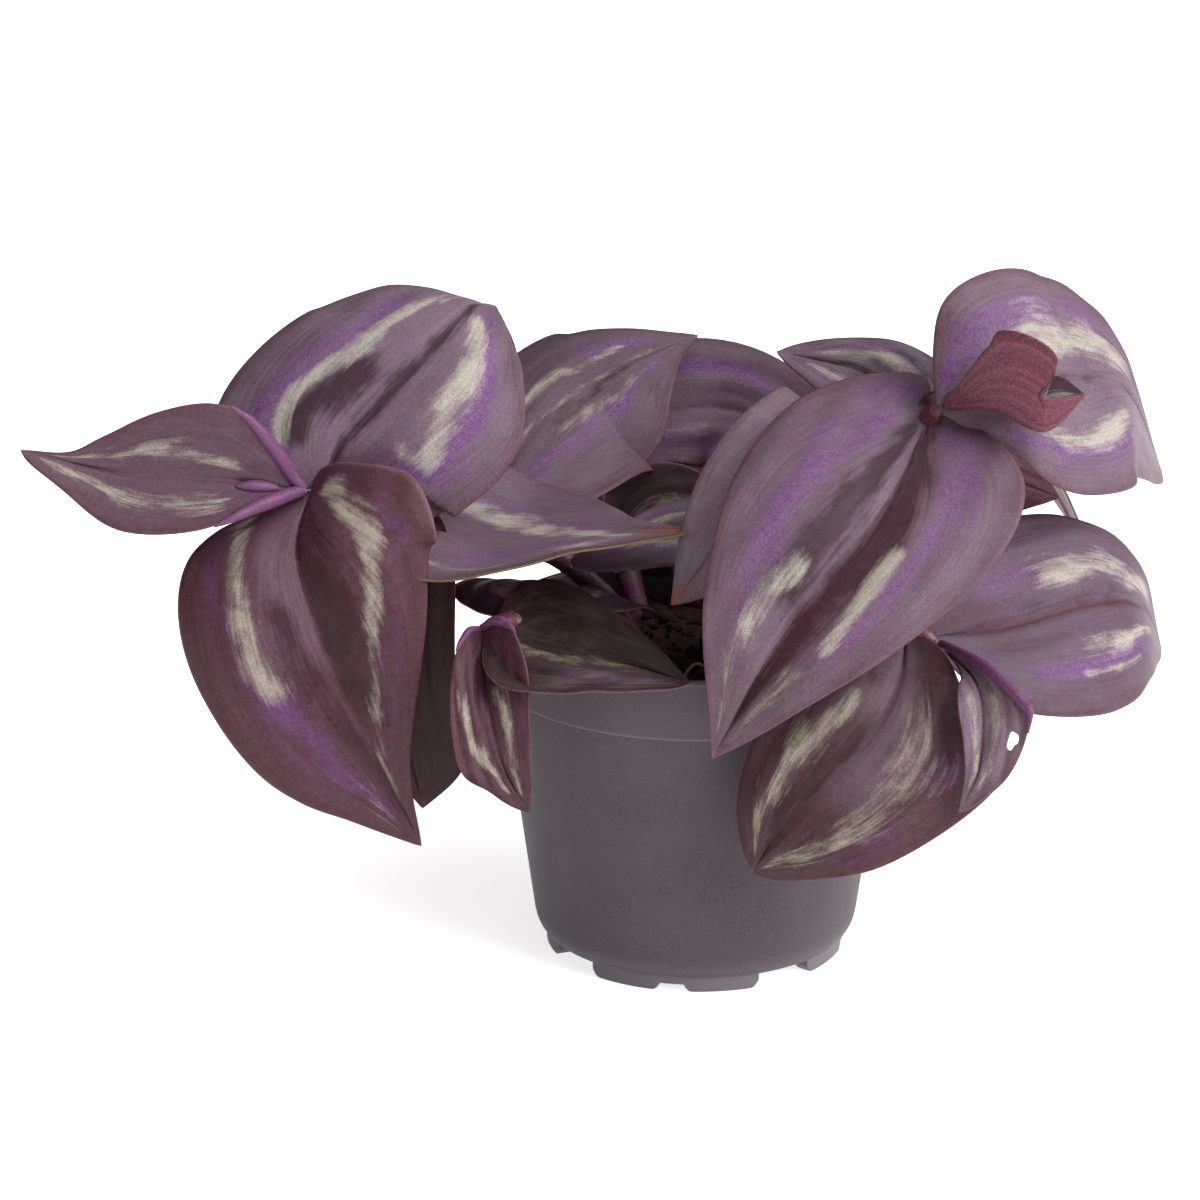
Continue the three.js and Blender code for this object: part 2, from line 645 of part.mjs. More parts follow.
function upright(radius, height, bottom, x, y, sides) {
  const cylinder = new THREE.CylinderGeometry(radius, radius, height, sides);
  return solidOfGeometry(cylinder.rotateX(Math.PI / 2).translate(x, y, bottom + height / 2));
}

function ringSector(inner, outer, bottom, top, centreDegrees, spanDegrees) {
  const start = THREE.MathUtils.degToRad(centreDegrees - spanDegrees / 2);
  const end = THREE.MathUtils.degToRad(centreDegrees + spanDegrees / 2);
  const shape = new THREE.Shape();
  shape.absarc(0, 0, outer, start, end, false);
  shape.absarc(0, 0, inner, end, start, true);
  const settings = { depth: top - bottom, bevelEnabled: false, curveSegments: 6 };
  return solidOfGeometry(new THREE.ExtrudeGeometry(shape, settings).translate(0, 0, bottom));
}

function pot() {
  const bandBottom = potHeight - bandHeight;
  let body = turned([
    [0, footHeight],
    [baseRadius - 0.4, footHeight],
    [baseRadius + 0.2, footHeight + 0.4],
    [lowerRadius - 0.7, footHeight + 1.3],
    [lowerRadius - 0.2, footHeight + 2.7],
    [lowerRadius, footHeight + cornerHeight],
    [upperRadius - 0.1, bandBottom - 0.2],
    [upperRadius + bandStep, bandBottom],
    [rimRadius - 0.1, potHeight - 0.5],
    [rimRadius - 0.4, potHeight],
    [rimRadius - rimWall, potHeight],
    [rimRadius - rimWall - 0.2, potHeight - 0.4],
    [upperRadius - wall, bandBottom],
    [lowerRadius - wall, footHeight + cornerHeight],
    [baseRadius - 1, footHeight + floorThickness],
    [0, footHeight + floorThickness],
  ], 32);
  for (const centre of footCentresDegrees) {
    const foot = ringSector(footInnerRadius, footOuterRadius, 0, footHeight + 0.6, centre, footSpanDegrees);
    const [inner, outer] = [footInnerRadius - 1, footOuterRadius + 1];
    const notch = ringSector(inner, outer, -1, notchDepth, centre, notchSpanDegrees);
    body = body.add(foot).subtract(notch);
  }
  for (let i = 0; i < drainHoles; i += 1) {
    const angle = 2 * Math.PI * (i + 0.5) / drainHoles;
    const x = drainCircleRadius * Math.cos(angle);
    const y = drainCircleRadius * Math.sin(angle);
    body = body.subtract(upright(drainHoleRadius, 4, footHeight - 1, x, y, 12));
  }
  return body;
}

// Radius of the pot's inside at a height
function insideRadius(height) {
  const low = footHeight + cornerHeight;
  const share = Math.min((height - low) / (potHeight - bandHeight - low), 1);
  return THREE.MathUtils.lerp(lowerRadius, upperRadius, share) - wall;
}

function soil() {
  const bottom = footHeight + floorThickness + soilGap;
  const sides = 20;
  const rings = 4;
  const positions = [[0, 0, bottom]];
  const triangles = [];
  const edge = [
    [baseRadius - 1 - soilGap, bottom],
    [insideRadius(footHeight + cornerHeight) - soilGap, footHeight + cornerHeight + 0.2],
    [insideRadius(soilTop - 2) - soilGap, soilTop - 2],
  ];
  const ring = (radius, height) => {
    for (let j = 0; j < sides; j += 1) {
      const angle = 2 * Math.PI * j / sides;
      const x = radius * Math.cos(angle);
      const y = radius * Math.sin(angle);
      positions.push([x, y, height(x, y)]);
    }
  };
  for (const [radius, height] of edge) ring(radius, () => height);
  const bump = (x, y) => soilBump * (Math.sin(0.55 * x + 0.3 * y) * Math.cos(0.5 * y - 0.2 * x));
  const outer = edge[2][0];
  for (let i = 1; i < rings; i += 1) {
    const radius = outer * (1 - i / rings);
    ring(radius, (x, y) => soilTop + bump(x, y) - 1.2 * (radius / outer) ** 2);
  }
  positions.push([0, 0, soilTop + bump(0, 0)]);
  const rows = edge.length + rings - 1;
  for (let j = 0; j < sides; j += 1) {
    const next = (j + 1) % sides;
    triangles.push([0, 1 + next, 1 + j]);
    for (let i = 0; i < rows - 1; i += 1) {
      const a = 1 + i * sides + j;
      const b = 1 + i * sides + next;
      triangles.push([a, b, b + sides]);
      triangles.push([a, b + sides, a + sides]);
    }
    const last = 1 + (rows - 1) * sides;
    triangles.push([last + j, last + next, positions.length - 1]);
  }
  let body = solidFrom(positions, triangles);
  for (const name of Object.keys(stems)) body = body.subtract(stemRoom(name));
  return body.subtract(rod(rootPath, () => rootRadius + clearance / 2, 0, 1, 8, 5));
}

function meshFrom(name, solid, finish) {
  const { vertProperties, triVerts } = solid.getMesh();
  const geometry = new THREE.BufferGeometry();
  geometry.setAttribute('position', new THREE.BufferAttribute(vertProperties, 3));
  geometry.setIndex(new THREE.BufferAttribute(triVerts, 1));
  geometry.computeVertexNormals();
  const mesh = new THREE.Mesh(geometry, new THREE.MeshStandardMaterial({ metalness: 0, ...finish }));
  mesh.name = name;
  return mesh;
}

const potFinish = { color: 0x5f5862, roughness: 0.55 };
const soilFinish = { color: 0x2e2320, roughness: 0.95 };
const stemFinish = { color: 0x7a3a78, roughness: 0.5 };
const rootFinish = { color: 0xb59a86, roughness: 0.7 };
const leafFinish = { color: 0x5a3a5c, roughness: 0.55 };

const part = new THREE.Group();
part.add(meshFrom('pot', pot(), potFinish));
part.add(meshFrom('soil', soil(), soilFinish));
for (const [name, path] of Object.entries(stems)) {
  const label = name.replace(/[A-Z]/, (letter) => `_${letter.toLowerCase()}`);
  part.add(meshFrom(`stem_${label}`, rod(path, stemRadiusAt(name), 0, 1, stemRings, 7), stemFinish));
}
const budTaper = (t) => budRadius * Math.sqrt(1 - 0.95 * t * t);
part.add(meshFrom('root_fibre', rod(rootPath, () => rootRadius, 0.04, 0.96, 8, 5), rootFinish));
part.add(meshFrom('bud_left', rod(budPath, budTaper, 0, 1, 4, 6), stemFinish));
const placed = Object.keys(stems).map(stemRoom);
placed.push(rod(budPath, (t) => budTaper(t) + clearance, 0, 1, 4, 6));
for (const leaf of leaves) part.add(meshFrom(leaf.name, leafSolid(leaf, placed), leafFinish));

// The finished part stands with the middle of its bounding box on the origin
const box = new THREE.Box3().setFromObject(part);
const middle = box.getCenter(new THREE.Vector3());
for (const mesh of part.children) mesh.geometry.translate(-middle.x, -middle.y, -box.min.z);

export default part;
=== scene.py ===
# Small potted tradescantia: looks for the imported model
import math
import random

import bpy
import numpy as np
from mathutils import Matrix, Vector, noise


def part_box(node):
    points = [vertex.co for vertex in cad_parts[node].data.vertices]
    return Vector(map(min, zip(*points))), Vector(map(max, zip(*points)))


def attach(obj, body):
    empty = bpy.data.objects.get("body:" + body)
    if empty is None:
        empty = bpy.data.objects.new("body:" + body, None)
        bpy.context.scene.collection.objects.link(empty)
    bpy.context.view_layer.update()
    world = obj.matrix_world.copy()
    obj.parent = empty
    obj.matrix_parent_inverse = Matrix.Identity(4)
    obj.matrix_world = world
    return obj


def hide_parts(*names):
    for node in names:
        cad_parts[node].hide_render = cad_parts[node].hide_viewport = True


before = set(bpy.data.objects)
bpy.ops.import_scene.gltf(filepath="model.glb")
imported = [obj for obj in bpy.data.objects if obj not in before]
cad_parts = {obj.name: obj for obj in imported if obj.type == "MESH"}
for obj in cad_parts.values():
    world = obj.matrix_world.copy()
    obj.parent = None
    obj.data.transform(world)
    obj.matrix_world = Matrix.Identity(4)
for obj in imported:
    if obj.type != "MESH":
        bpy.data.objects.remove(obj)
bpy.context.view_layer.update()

mm = 0.001
seam = 0.002  # points closer than this in a turned piece are one
smooth = {"interpolation_type": "SMOOTHSTEP"}  # a soft start and end of a ramp
potLow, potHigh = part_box("pot")
potAxis = Vector(((potLow.x + potHigh.x) / 2, (potLow.y + potHigh.y) / 2, 0))


def place(point):
    return Vector(point) * mm + potAxis  # the measures below are millimetres from the pot's axis


def smoothThrough(points, t):
    last = len(points) - 1
    spot = min(max(t, 0), 1) * last
    k = min(int(spot), last - 1)
    s = spot - k
    b, c = points[k], points[k + 1]
    a = points[k - 1] if k > 0 else [2 * p - q for p, q in zip(b, c)]
    d = points[k + 2] if k < last - 1 else [2 * q - p for p, q in zip(b, c)]
    return [
        0.5 * (2 * q + (r - p) * s + (2 * p - 5 * q + 4 * r - w) * s * s + (3 * q - p - 3 * r + w) * s ** 3)
        for p, q, r, w in zip(a, b, c, d)
    ]


def directionOf(points, t):
    ahead = Vector(smoothThrough(points, min(t + 0.01, 1)))
    return (ahead - Vector(smoothThrough(points, max(t - 0.01, 0)))).normalized()


def lengthOf(points):
    stops = [Vector(smoothThrough(points, k / 24)) for k in range(25)]
    return sum((b - a).length for a, b in zip(stops, stops[1:]))


def deselectAll():
    if bpy.context.object and bpy.context.object.mode != "OBJECT":
        bpy.ops.object.mode_set(mode="OBJECT")
    bpy.ops.object.select_all(action="DESELECT")


def pick(*objects):
    deselectAll()
    for thing in objects:
        thing.select_set(True)
    bpy.context.view_layer.objects.active = objects[0]


def addModifier(piece, kind, **settings):
    pick(piece)
    modifier = piece.modifiers.new(kind.title(), kind)
    for name, value in settings.items():
        setattr(modifier, name, value)
    bpy.ops.object.modifier_apply(modifier=modifier.name)


def finishMesh(piece, angle=60):
    pick(piece)
    bpy.ops.object.transform_apply(location=True, rotation=True, scale=True)
    bpy.ops.object.shade_smooth_by_angle(angle=math.radians(angle))


def handOver(piece, node):
    piece.name = node + "_look"
    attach(piece, "root")
    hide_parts(node)


def linear(hexColour):
    parts = [int(hexColour[k:k + 2], 16) / 255 for k in (1, 3, 5)]
    return [p / 12.92 if p <= 0.04045 else ((p + 0.055) / 1.055) ** 2.4 for p in parts] + [1]


def setSockets(tree, node, values):
    # a socket gets a link, a hex colour or a number
    for socket, value in values.items():
        if isinstance(value, bpy.types.NodeSocket):
            tree.links.new(value, node.inputs[socket])
        else:
            node.inputs[socket].default_value = linear(value) if isinstance(value, str) else value


def addNode(tree, kind, values=None, output=0, **settings):
    # one node with its settings and links; what comes back is the socket that goes on from it
    node = tree.nodes.new("ShaderNode" + kind)
    for name, value in settings.items():
        setattr(node, name, value)
    setSockets(tree, node, values or {})
    return node.outputs[output]


def newMaterial(name):
    material = bpy.data.materials.new(name)
    material.use_nodes = True
    return material, material.node_tree, material.node_tree.nodes["Principled BSDF"]


def laid(tree, under, over, pattern, share=1, low=None, high=None):
    # a layer of colour over another, where the pattern is high or rises from low to high
    if low is not None:
        pattern = addNode(tree, "MapRange", {0: pattern, 1: low, 2: high}, **smooth)
    amount = addNode(tree, "Math", {0: pattern, 1: share}, operation="MULTIPLY")
    return addNode(tree, "Mix", {0: amount, 6: under, 7: over}, 2, data_type="RGBA")


def blotched(tree, sizeMm, detail=3.0, roughness=0.5):
    # an uneven pattern on the piece, with blotches about sizeMm across
    spot = addNode(tree, "TexCoord", output="Object")
    values = {"Vector": spot, "Scale": 1 / (sizeMm * mm), "Detail": detail, "Roughness": roughness}
    return addNode(tree, "TexNoise", values)


def streaked(tree, across, along, detail=3.0, roughness=0.6):
    # a pattern drawn out with the veins: how many streaks lie across and along one unit of the leaf
    ways = [addNode(tree, "Attribute", output="Fac", attribute_name=name) for name in ("across", "along")]
    onLeaf = addNode(tree, "CombineXYZ", {0: ways[0], 1: ways[1]})
    stretched = addNode(tree, "Mapping", {"Vector": onLeaf, "Scale": (across, along, 1)})
    values = {"Vector": stretched, "Scale": 1.0, "Detail": detail, "Roughness": roughness}
    return addNode(tree, "TexNoise", values)


def bumped(tree, height, strength, depthMm, finer=None, share=0):
    # relief from one pattern, with a share of a finer one on it
    if finer:
        height = addNode(tree, "Math", {0: finer, 1: share, 2: height}, operation="MULTIPLY_ADD")
    return addNode(tree, "Bump", {"Height": height, "Strength": strength, "Distance": depthMm * mm})


def leafUpperSkin():
    # tradescantia leaf, upper side: waxy skin over coloured cells, so it is satin with a fine sparkle,
    # and silver and violet bands run with the veins and break up into streaks at their edges.
    # Its cells are about 0.1 mm across and are drawn at 0.3 mm, so that they show.
    material, tree, skin = newMaterial("tradescantiaLeafUpperSkin")
    bands, tones, across, wither = (
        addNode(tree, "Attribute", output=output, attribute_name=name)
        for name, output in (("bands", "Color"), ("tones", "Color"), ("across", "Fac"), ("wither", "Fac"))
    )
    silver, violet, dark = addNode(tree, "SeparateColor", {0: bands}).node.outputs
    maroon, olive, pale = addNode(tree, "SeparateColor", {0: tones}).node.outputs
    streaks, longStreaks, patches, cells, tints, blotches = (
        addNode(tree, "MapRange", {0: pattern, 1: low, 2: high}, **smooth)
        for pattern, low, high in (
            (streaked(tree, 40, 5), 0.25, 0.75), (streaked(tree, 13, 1.6), 0.25, 0.75),
            (streaked(tree, 6, 8, roughness=0.55), 0.3, 0.7), (blotched(tree, 0.3, roughness=0.75), 0.3, 0.7),
            (blotched(tree, 1.1, roughness=0.7), 0.3, 0.7), (blotched(tree, 6.0), 0.3, 0.7),
        )
    )
    # near 0 on average, and from about -0.5 to 0.5, so that the edges of the bands break up
    speckle = -0.53
    for pattern, share in ((streaks, 0.25), (longStreaks, 0.25), (patches, 0.5), (cells, 0.07)):
        speckle = addNode(tree, "Math", {0: pattern, 1: share, 2: speckle}, operation="MULTIPLY_ADD")
    fromMidrib = addNode(tree, "Math", {0: across}, operation="ABSOLUTE")
    nearMargin = addNode(tree, "Math", {0: speckle, 1: 0.3, 2: fromMidrib}, operation="MULTIPLY_ADD")
    body = laid(tree, "#5d4d5d", "#412225", maroon)
    # in the layers below, the pale one is partly the skin's own pinkish grey and partly a painted sheen where
    # a leaf faces the light
    for layer in (
        ("#2b2616", olive), ("#8a7884", pale), ("#48282e", blotches, 0.25), ("#776078", longStreaks, 0.105),
        ("#26101a", streaks, 0.24), ("#46242a", nearMargin, 0.4, 0.7, 1.05),
    ):
        body = laid(tree, body, *layer)
    # the dark tone is partly darker skin and partly painted shade: it darkens the creases by the midrib and
    # whole leaves that lie in shadow
    darkAndShadeTone = laid(tree, laid(tree, "#302029", "#331821", maroon), "#16110b", olive)
    violetTone = laid(tree, laid(tree, "#603f69", "#73507a", cells), "#52304f", maroon)
    silverTone = laid(tree, laid(tree, "#a39e93", "#8f8779", maroon), "#7a765c", olive)
    # the dark bands, painted shade among them, push the violet ones back
    violet = addNode(tree, "Math", {0: dark, 1: -0.4, 2: violet}, operation="MULTIPLY_ADD")
    for tone, mask, share, low, high in (
        (darkAndShadeTone, dark, 0.9, 0.15, 0.95), (violetTone, violet, 0.9, 0.25, 1.0),
        (silverTone, silver, 0.88, 0.35, 1.05),
    ):
        broken = addNode(tree, "Math", {0: mask, 1: speckle}, operation="ADD")
        body = laid(tree, body, tone, broken, share, low, high)
    body = laid(tree, body, laid(tree, "#6a3c22", "#9a6246", cells), wither)
    body = laid(tree, body, "#6d4a50", fromMidrib, 0.4, 0.98, 0.995)  # a fine reddish line on the margin
    brightness, strength, gloss = (
        addNode(tree, "MapRange", {0: pattern, 3: low, 4: high})
        for pattern, low, high in ((cells, 0.82, 1.18), (tints, 0.85, 1.2), (streaks, 0.52, 0.42))
    )
    body = addNode(tree, "HueSaturation", {"Color": body, "Value": brightness, "Saturation": strength})
    setSockets(tree, skin, {
        "Base Color": body, "Roughness": gloss, "IOR": 1.42, "Specular IOR Level": 0.2,
        "Normal": bumped(tree, streaked(tree, 30, 0.8, 1.0, 0.5), 0.35, 0.12, cells, 0.15),
    })
    return material


def leafLowerSkin(name, body, streak):
    # the lower side: red to magenta cells with paler veins, a little duller than the upper side.
    # Its cells, about 0.1 mm across, are drawn at 0.35 mm, so that they show.
    material, tree, skin = newMaterial(name)
    veins, cells = streaked(tree, 14, 1.2, 2.0, 0.5), blotched(tree, 0.35, roughness=0.7)
    colour = laid(tree, body, streak, veins, 1, 0.35, 0.7)
    setSockets(tree, skin, {
        "Base Color": laid(tree, colour, "#c79aa8", cells, 0.12, 0.35, 0.8), "Roughness": 0.42, "IOR": 1.42,
        "Specular IOR Level": 0.3, "Normal": bumped(tree, veins, 0.25, 0.12, cells, 0.4),
    })
    return material


def stemSkin():
    # fleshy stem: smooth juicy skin, purple over green, with lighter grains.
    # These are about 0.1 mm across and are drawn at 0.4 mm, so that they show.
    material, tree, skin = newMaterial("tradescantiaStemSkin")
    blotches, cells = blotched(tree, 3.0), blotched(tree, 0.4, roughness=0.7)
    colour = laid(tree, "#6b2f5c", "#5a4a3c", blotches, 1, 0.35, 0.65)
    setSockets(tree, skin, {
        "Base Color": laid(tree, colour, "#94607f", cells, 1, 0.5, 0.75), "Roughness": 0.4, "IOR": 1.4,
        "Normal": bumped(tree, cells, 0.3, 0.1),
    })
    return material


def potPlastic():
    # injection-moulded recycled polypropylene: matte, evenly grained by the mould, with a painted highlight
    # that lightens its sharp edges.
    # The grain is about 0.1 mm across and is drawn at 0.35 mm, so that it shows.
    material, tree, plastic = newMaterial("mouldedRecycledPolypropylene")
    mould, clouds = blotched(tree, 0.35, 4.0, 0.7), blotched(tree, 14.0)
    colour = laid(tree, "#3b3238", "#433a41", clouds, 1, 0.3, 0.7)
    colour = laid(tree, colour, "#4f484c", mould, 1, 0.45, 0.75)
    # painted highlight: the sharp convex edges are lightened
    edgeHighlight = addNode(tree, "NewGeometry", output="Pointiness")
    setSockets(tree, plastic, {
        "Base Color": laid(tree, colour, "#80787f", edgeHighlight, 0.45, 0.505, 0.56), "IOR": 1.49,
        "Roughness": addNode(tree, "MapRange", {0: mould, 1: 0.3, 2: 0.7, 3: 0.48, 4: 0.62}),
        "Specular IOR Level": 0.25, "Normal": bumped(tree, mould, 0.35, 0.06),
    })
    return material


def peatSoil():
    # moist peat: crumbs of very dark brown, about 1.4 mm across, with lighter fibre
    material, tree, peat = newMaterial("moistPeatSoil")
    crumbs, fibre = blotched(tree, 1.4, 5.0, 0.7), blotched(tree, 0.4, 4.0, 0.7)
    colour = laid(tree, "#2a130f", "#4a2a20", crumbs, 1, 0.35, 0.7)
    setSockets(tree, peat, {
        "Base Color": laid(tree, colour, "#6d5442", fibre, 1, 0.62, 0.75), "Roughness": 0.9,
        "Normal": bumped(tree, crumbs, 0.9, 0.5, fibre, 0.5),
    })
    return material


def rootBark():
    # dry root: pale tan fibre with fine marks, drawn at 0.3 mm, coarser than they are, so that they show
    material, tree, bark = newMaterial("dryRootFibre")
    fibre = blotched(tree, 0.3)
    setSockets(tree, bark, {
        "Base Color": laid(tree, "#8a6a58", "#c9ad97", fibre), "Roughness": 0.75,
        "Normal": bumped(tree, fibre, 0.5, 0.05),
    })
    return material


upperSkin = leafUpperSkin()
lowerSkins = {
    "red": leafLowerSkin("tradescantiaLeafRedUnderside", "#4c1b2a", "#642f3e"),
    "magenta": leafLowerSkin("tradescantiaLeafMagentaUnderside", "#4f2649", "#6b4066"),
}
marginSkins = {
    "maroon": leafLowerSkin("tradescantiaLeafMargin", "#46292f", "#5f4047"),
    "olive": leafLowerSkin("tradescantiaLeafDryingMargin", "#584c2a", "#7a6f45"),
}
stemMaterial = stemSkin()
potMaterial = potPlastic()
soilMaterial = peatSoil()
rootMaterial = rootBark()
print("materials ready")


pot = {
    "height": 50, "rim": 30, "rimWall": 1.4, "bandHeight": 8.8, "bandStep": 0.5,
    "upper": 29, "lower": 24.1, "base": 22.4, "corner": 4.2, "wall": 1.1, "floor": 1.3, "foot": 2.1,
    "footOuter": 22.2, "footInner": 19.6, "footSpan": 67, "footCentres": (-98.7, -8.7, 81.3, 171.3),
    "footSteps": 67, "footEdge": 0.15, "footOverlap": 0.5, "notch": 1.1, "notchSpan": 9, "footRound": 3,
    "holeRadius": 2.6, "holeCircle": 13, "holes": 6, "holeSides": 40, "cut": 6, "steps": 144, "sharp": 30,
}


def spun(profile, steps, span=360, start=0):
    # a profile of radius and height, turned round the pot's axis; closed if it is a full turn
    turn = math.radians(start)
    mesh = bpy.data.meshes.new("profile")
    points = [place((r * math.cos(turn), r * math.sin(turn), z)) for r, z in profile]
    count = len(points)
    edges = [(k, (k + 1) % count) for k in range(count if span < 360 else count - 1)]
    mesh.from_pydata(points, edges, [])
    piece = bpy.data.objects.new("turned", mesh)
    bpy.context.collection.objects.link(piece)
    if span < 360:
        mesh.clear_geometry()
        mesh.from_pydata(points, [], [list(range(count))])
    pick(piece)
    bpy.ops.object.mode_set(mode="EDIT")
    bpy.ops.mesh.select_all(action="SELECT")
    bpy.ops.mesh.spin(steps=steps, angle=math.radians(span), center=potAxis, axis=(0, 0, -1))
    bpy.ops.mesh.select_all(action="SELECT")
    bpy.ops.mesh.remove_doubles(threshold=seam * mm)
    bpy.ops.mesh.normals_make_consistent(inside=False)
    bpy.ops.object.mode_set(mode="OBJECT")
    return piece


def joined(pieces):
    pick(*pieces)
    bpy.ops.object.join()
    return pieces[0]


def footHollow(p, turn):
    # a foot has a shallow notch in its middle and rounded ends: how far its underside rises there
    soft = min(abs(turn) - p["notchSpan"] / 2, p["footSpan"] / 2 - abs(turn)) / p["footRound"]
    return p["notch"] * (1 - min(max(soft, 0), 1)) ** 2


def makePot(p):
    band = p["height"] - p["bandHeight"]
    foot = p["foot"]
    body = spun([
        (0, foot), (p["base"] - 0.9, foot), (p["base"] - 0.4, foot + 0.03), (p["base"] + 0.1, foot + 0.25),
        (p["base"] + 0.35, foot + 0.6), (p["lower"] - 0.75, foot + 1.3), (p["lower"] - 0.4, foot + 2.1),
        (p["lower"] - 0.15, foot + 3.1), (p["lower"], foot + p["corner"]),
        (p["upper"] - 0.12, band - 0.5), (p["upper"] - 0.03, band - 0.12), (p["upper"] + 0.3, band - 0.04),
        (p["upper"] + 0.47, band + 0.1), (p["upper"] + 0.5, band + 0.4),
        (p["rim"] - 0.12, p["height"] - 0.7), (p["rim"] - 0.16, p["height"] - 0.3),
        (p["rim"] - 0.35, p["height"] - 0.06), (p["rim"] - 0.6, p["height"]),
        (p["rim"] - p["rimWall"] + 0.2, p["height"]),
        (p["rim"] - p["rimWall"], p["height"] - 0.15), (p["rim"] - p["rimWall"] - 0.15, p["height"] - 0.6),
        (p["upper"] - p["wall"], band), (p["lower"] - p["wall"], foot + p["corner"]),
        (p["base"] - 1.1, foot + p["floor"] + 0.3), (p["base"] - 1.6, foot + p["floor"]),
        (0, foot + p["floor"]),
    ], p["steps"])
    feet, cutters = [], []
    for centre in p["footCentres"]:
        inner, outer, low = p["footInner"], p["footOuter"], p["footEdge"]
        top = foot + p["footOverlap"]
        ring = [(inner, low), (inner + low, 0), (outer - low, 0), (outer, low), (outer, top), (inner, top)]
        segment = spun(ring, p["footSteps"], p["footSpan"], centre - p["footSpan"] / 2)
        for vertex in segment.data.vertices:
            if vertex.co.z < 2 * low * mm:
                x, y = (vertex.co - potAxis).xy
                turn = (math.degrees(math.atan2(y, x)) - centre + 180) % 360 - 180
                vertex.co.z += footHollow(p, turn) * mm
        feet.append(segment)
    for k in range(p["holes"]):
        angle = 2 * math.pi * (k + 0.5) / p["holes"]
        centre = (p["holeCircle"] * math.cos(angle), p["holeCircle"] * math.sin(angle), foot + 0.6)
        bpy.ops.mesh.primitive_cylinder_add(
            vertices=p["holeSides"], radius=p["holeRadius"] * mm, depth=p["cut"] * mm, location=place(centre),
        )
        cutters.append(bpy.context.object)
    addModifier(body, "BOOLEAN", operation="DIFFERENCE", object=joined(cutters), solver="EXACT")
    bpy.data.objects.remove(cutters[0])
    body = joined([body, *feet])
    body.data.materials.clear()
    body.data.materials.append(potMaterial)
    finishMesh(body, p["sharp"])
    return body


handOver(makePot(pot), "pot")
print("pot ready")


soil = {
    "top": 45.5, "bump": 0.9, "gap": 0.3, "rings": 22, "steps": 110, "fine": 0.7, "dish": 1.2, "edge": 27.6,
    "crumbs": 620, "spread": 27, "small": (0.35, 0.8), "large": (0.8, 1.5), "sunk": 0.25, "seed": 11,
}


def soilHeight(x, y):
    radius = math.hypot(x, y)
    wave = soil["bump"] * math.sin(0.55 * x + 0.3 * y) * math.cos(0.5 * y - 0.2 * x)
    fine = soil["fine"] * noise.fractal(Vector((x, y, 4)) * 0.45, 0.8, 2.1, 4)
    return soil["top"] + wave + fine - soil["dish"] * (radius / soil["edge"]) ** 2


def makeSoil(p):
    foot = pot["foot"]
    outer = pot["upper"] - pot["wall"] - p["gap"]
    rings = p["rings"]
    profile = [(0, foot + pot["floor"] + p["gap"]), (pot["base"] - 1.9, foot + pot["floor"] + p["gap"])]
    profile += [(pot["lower"] - pot["wall"] - p["gap"], foot + pot["corner"] + 0.2), (outer, p["top"] - 2)]
    profile += [(outer * (1 - k / rings), p["top"]) for k in range(1, rings + 1)]
    body = spun(profile, p["steps"])
    for vertex in body.data.vertices:
        x, y = (vertex.co - potAxis).xy / mm
        if vertex.co.z > (p["top"] - 1) * mm:
            vertex.co.z = soilHeight(x, y) * mm
    draw = random.Random(p["seed"])
    crumbs = [body]
    for k in range(p["crumbs"]):
        radius, angle = p["spread"] * math.sqrt(draw.random()), draw.uniform(0, 2 * math.pi)
        x, y = radius * math.cos(angle), radius * math.sin(angle)
        size = draw.uniform(*(p["small"] if k % 5 else p["large"]))  # every fifth crumb is a large one
        deselectAll()
        bpy.ops.mesh.primitive_ico_sphere_add(
            subdivisions=1, radius=size * mm, location=place((x, y, soilHeight(x, y) + size * p["sunk"])),
            rotation=[draw.uniform(0, 6) for _ in range(3)],
        )
        crumb = bpy.context.object
        crumb.scale = [draw.uniform(0.6, 1.3) for _ in range(3)]
        crumbs.append(crumb)
    body = joined(crumbs)
    body.data.materials.clear()
    body.data.materials.append(soilMaterial)
    finishMesh(body)
    return body


handOver(makeSoil(soil), "soil")
print("soil ready")


stems = {
    "left": [[-9, 3, 37], [-10, 3, 46], [-19, 3, 57], [-32, 2, 63], [-44, -4, 69], [-56, -12.5, 72.5]],
    "rim": [[-12, -10, 37], [-13, -11, 45], [-20, -15, 51], [-26, -18, 54.5], [-30.5, -21.5, 55]],
    "upper": [[9, 4, 37], [10, 4, 46], [16, 4, 58], [25, 2, 70], [31, -3, 79], [34.3, -9, 84.5]],
    "lower": [[15, -8, 37], [16, -9, 45], [22, -11, 52], [29, -13, 53], [34.4, -15, 51.3]],
    "back_left": [[-8, 15, 37], [-9, 17, 46], [-14, 26, 58], [-22, 36, 66], [-31, 46, 67]],
    "back_right": [[9, 15, 37], [10, 17, 46], [13, 26, 57], [20, 36, 63], [30, 45, 62]],
}
joints = {
    "left": [0.3, 0.48, 0.62, 0.9, 0.95], "rim": [0.45, 0.75, 0.9], "upper": [0.35, 0.55, 0.75, 0.9, 0.95],
    "lower": [0.45, 0.75, 0.9], "back_left": [0.35, 0.6, 0.8, 0.93], "back_right": [0.35, 0.6, 0.8, 0.93],
}
stem = {
    "radius": 1.7, "tipRadius": 1.35, "swelling": 0.35, "swellSpan": 1.6, "slimFrom": 0.75, "slimBy": 0.65,
    "roundFrom": 0.93, "stops": 48, "sides": 5,
}


def stemRadius(name, t):
    reach = lengthOf(stems[name])
    swell = sum(math.exp(-((t - joint) * reach / stem["swellSpan"]) ** 2) for joint in joints[name])
    slim = 1 - stem["slimBy"] * max((t - stem["slimFrom"]) / (1 - stem["slimFrom"]), 0) ** 2
    return (stem["radius"] + (stem["tipRadius"] - stem["radius"]) * t + stem["swelling"] * swell) * slim


def domed(t, start, end):
    # 1 up to start, then round down to a small tip at end
    return math.sqrt(max(1 - max((t - start) / (end - start), 0) ** 2, 0.02))


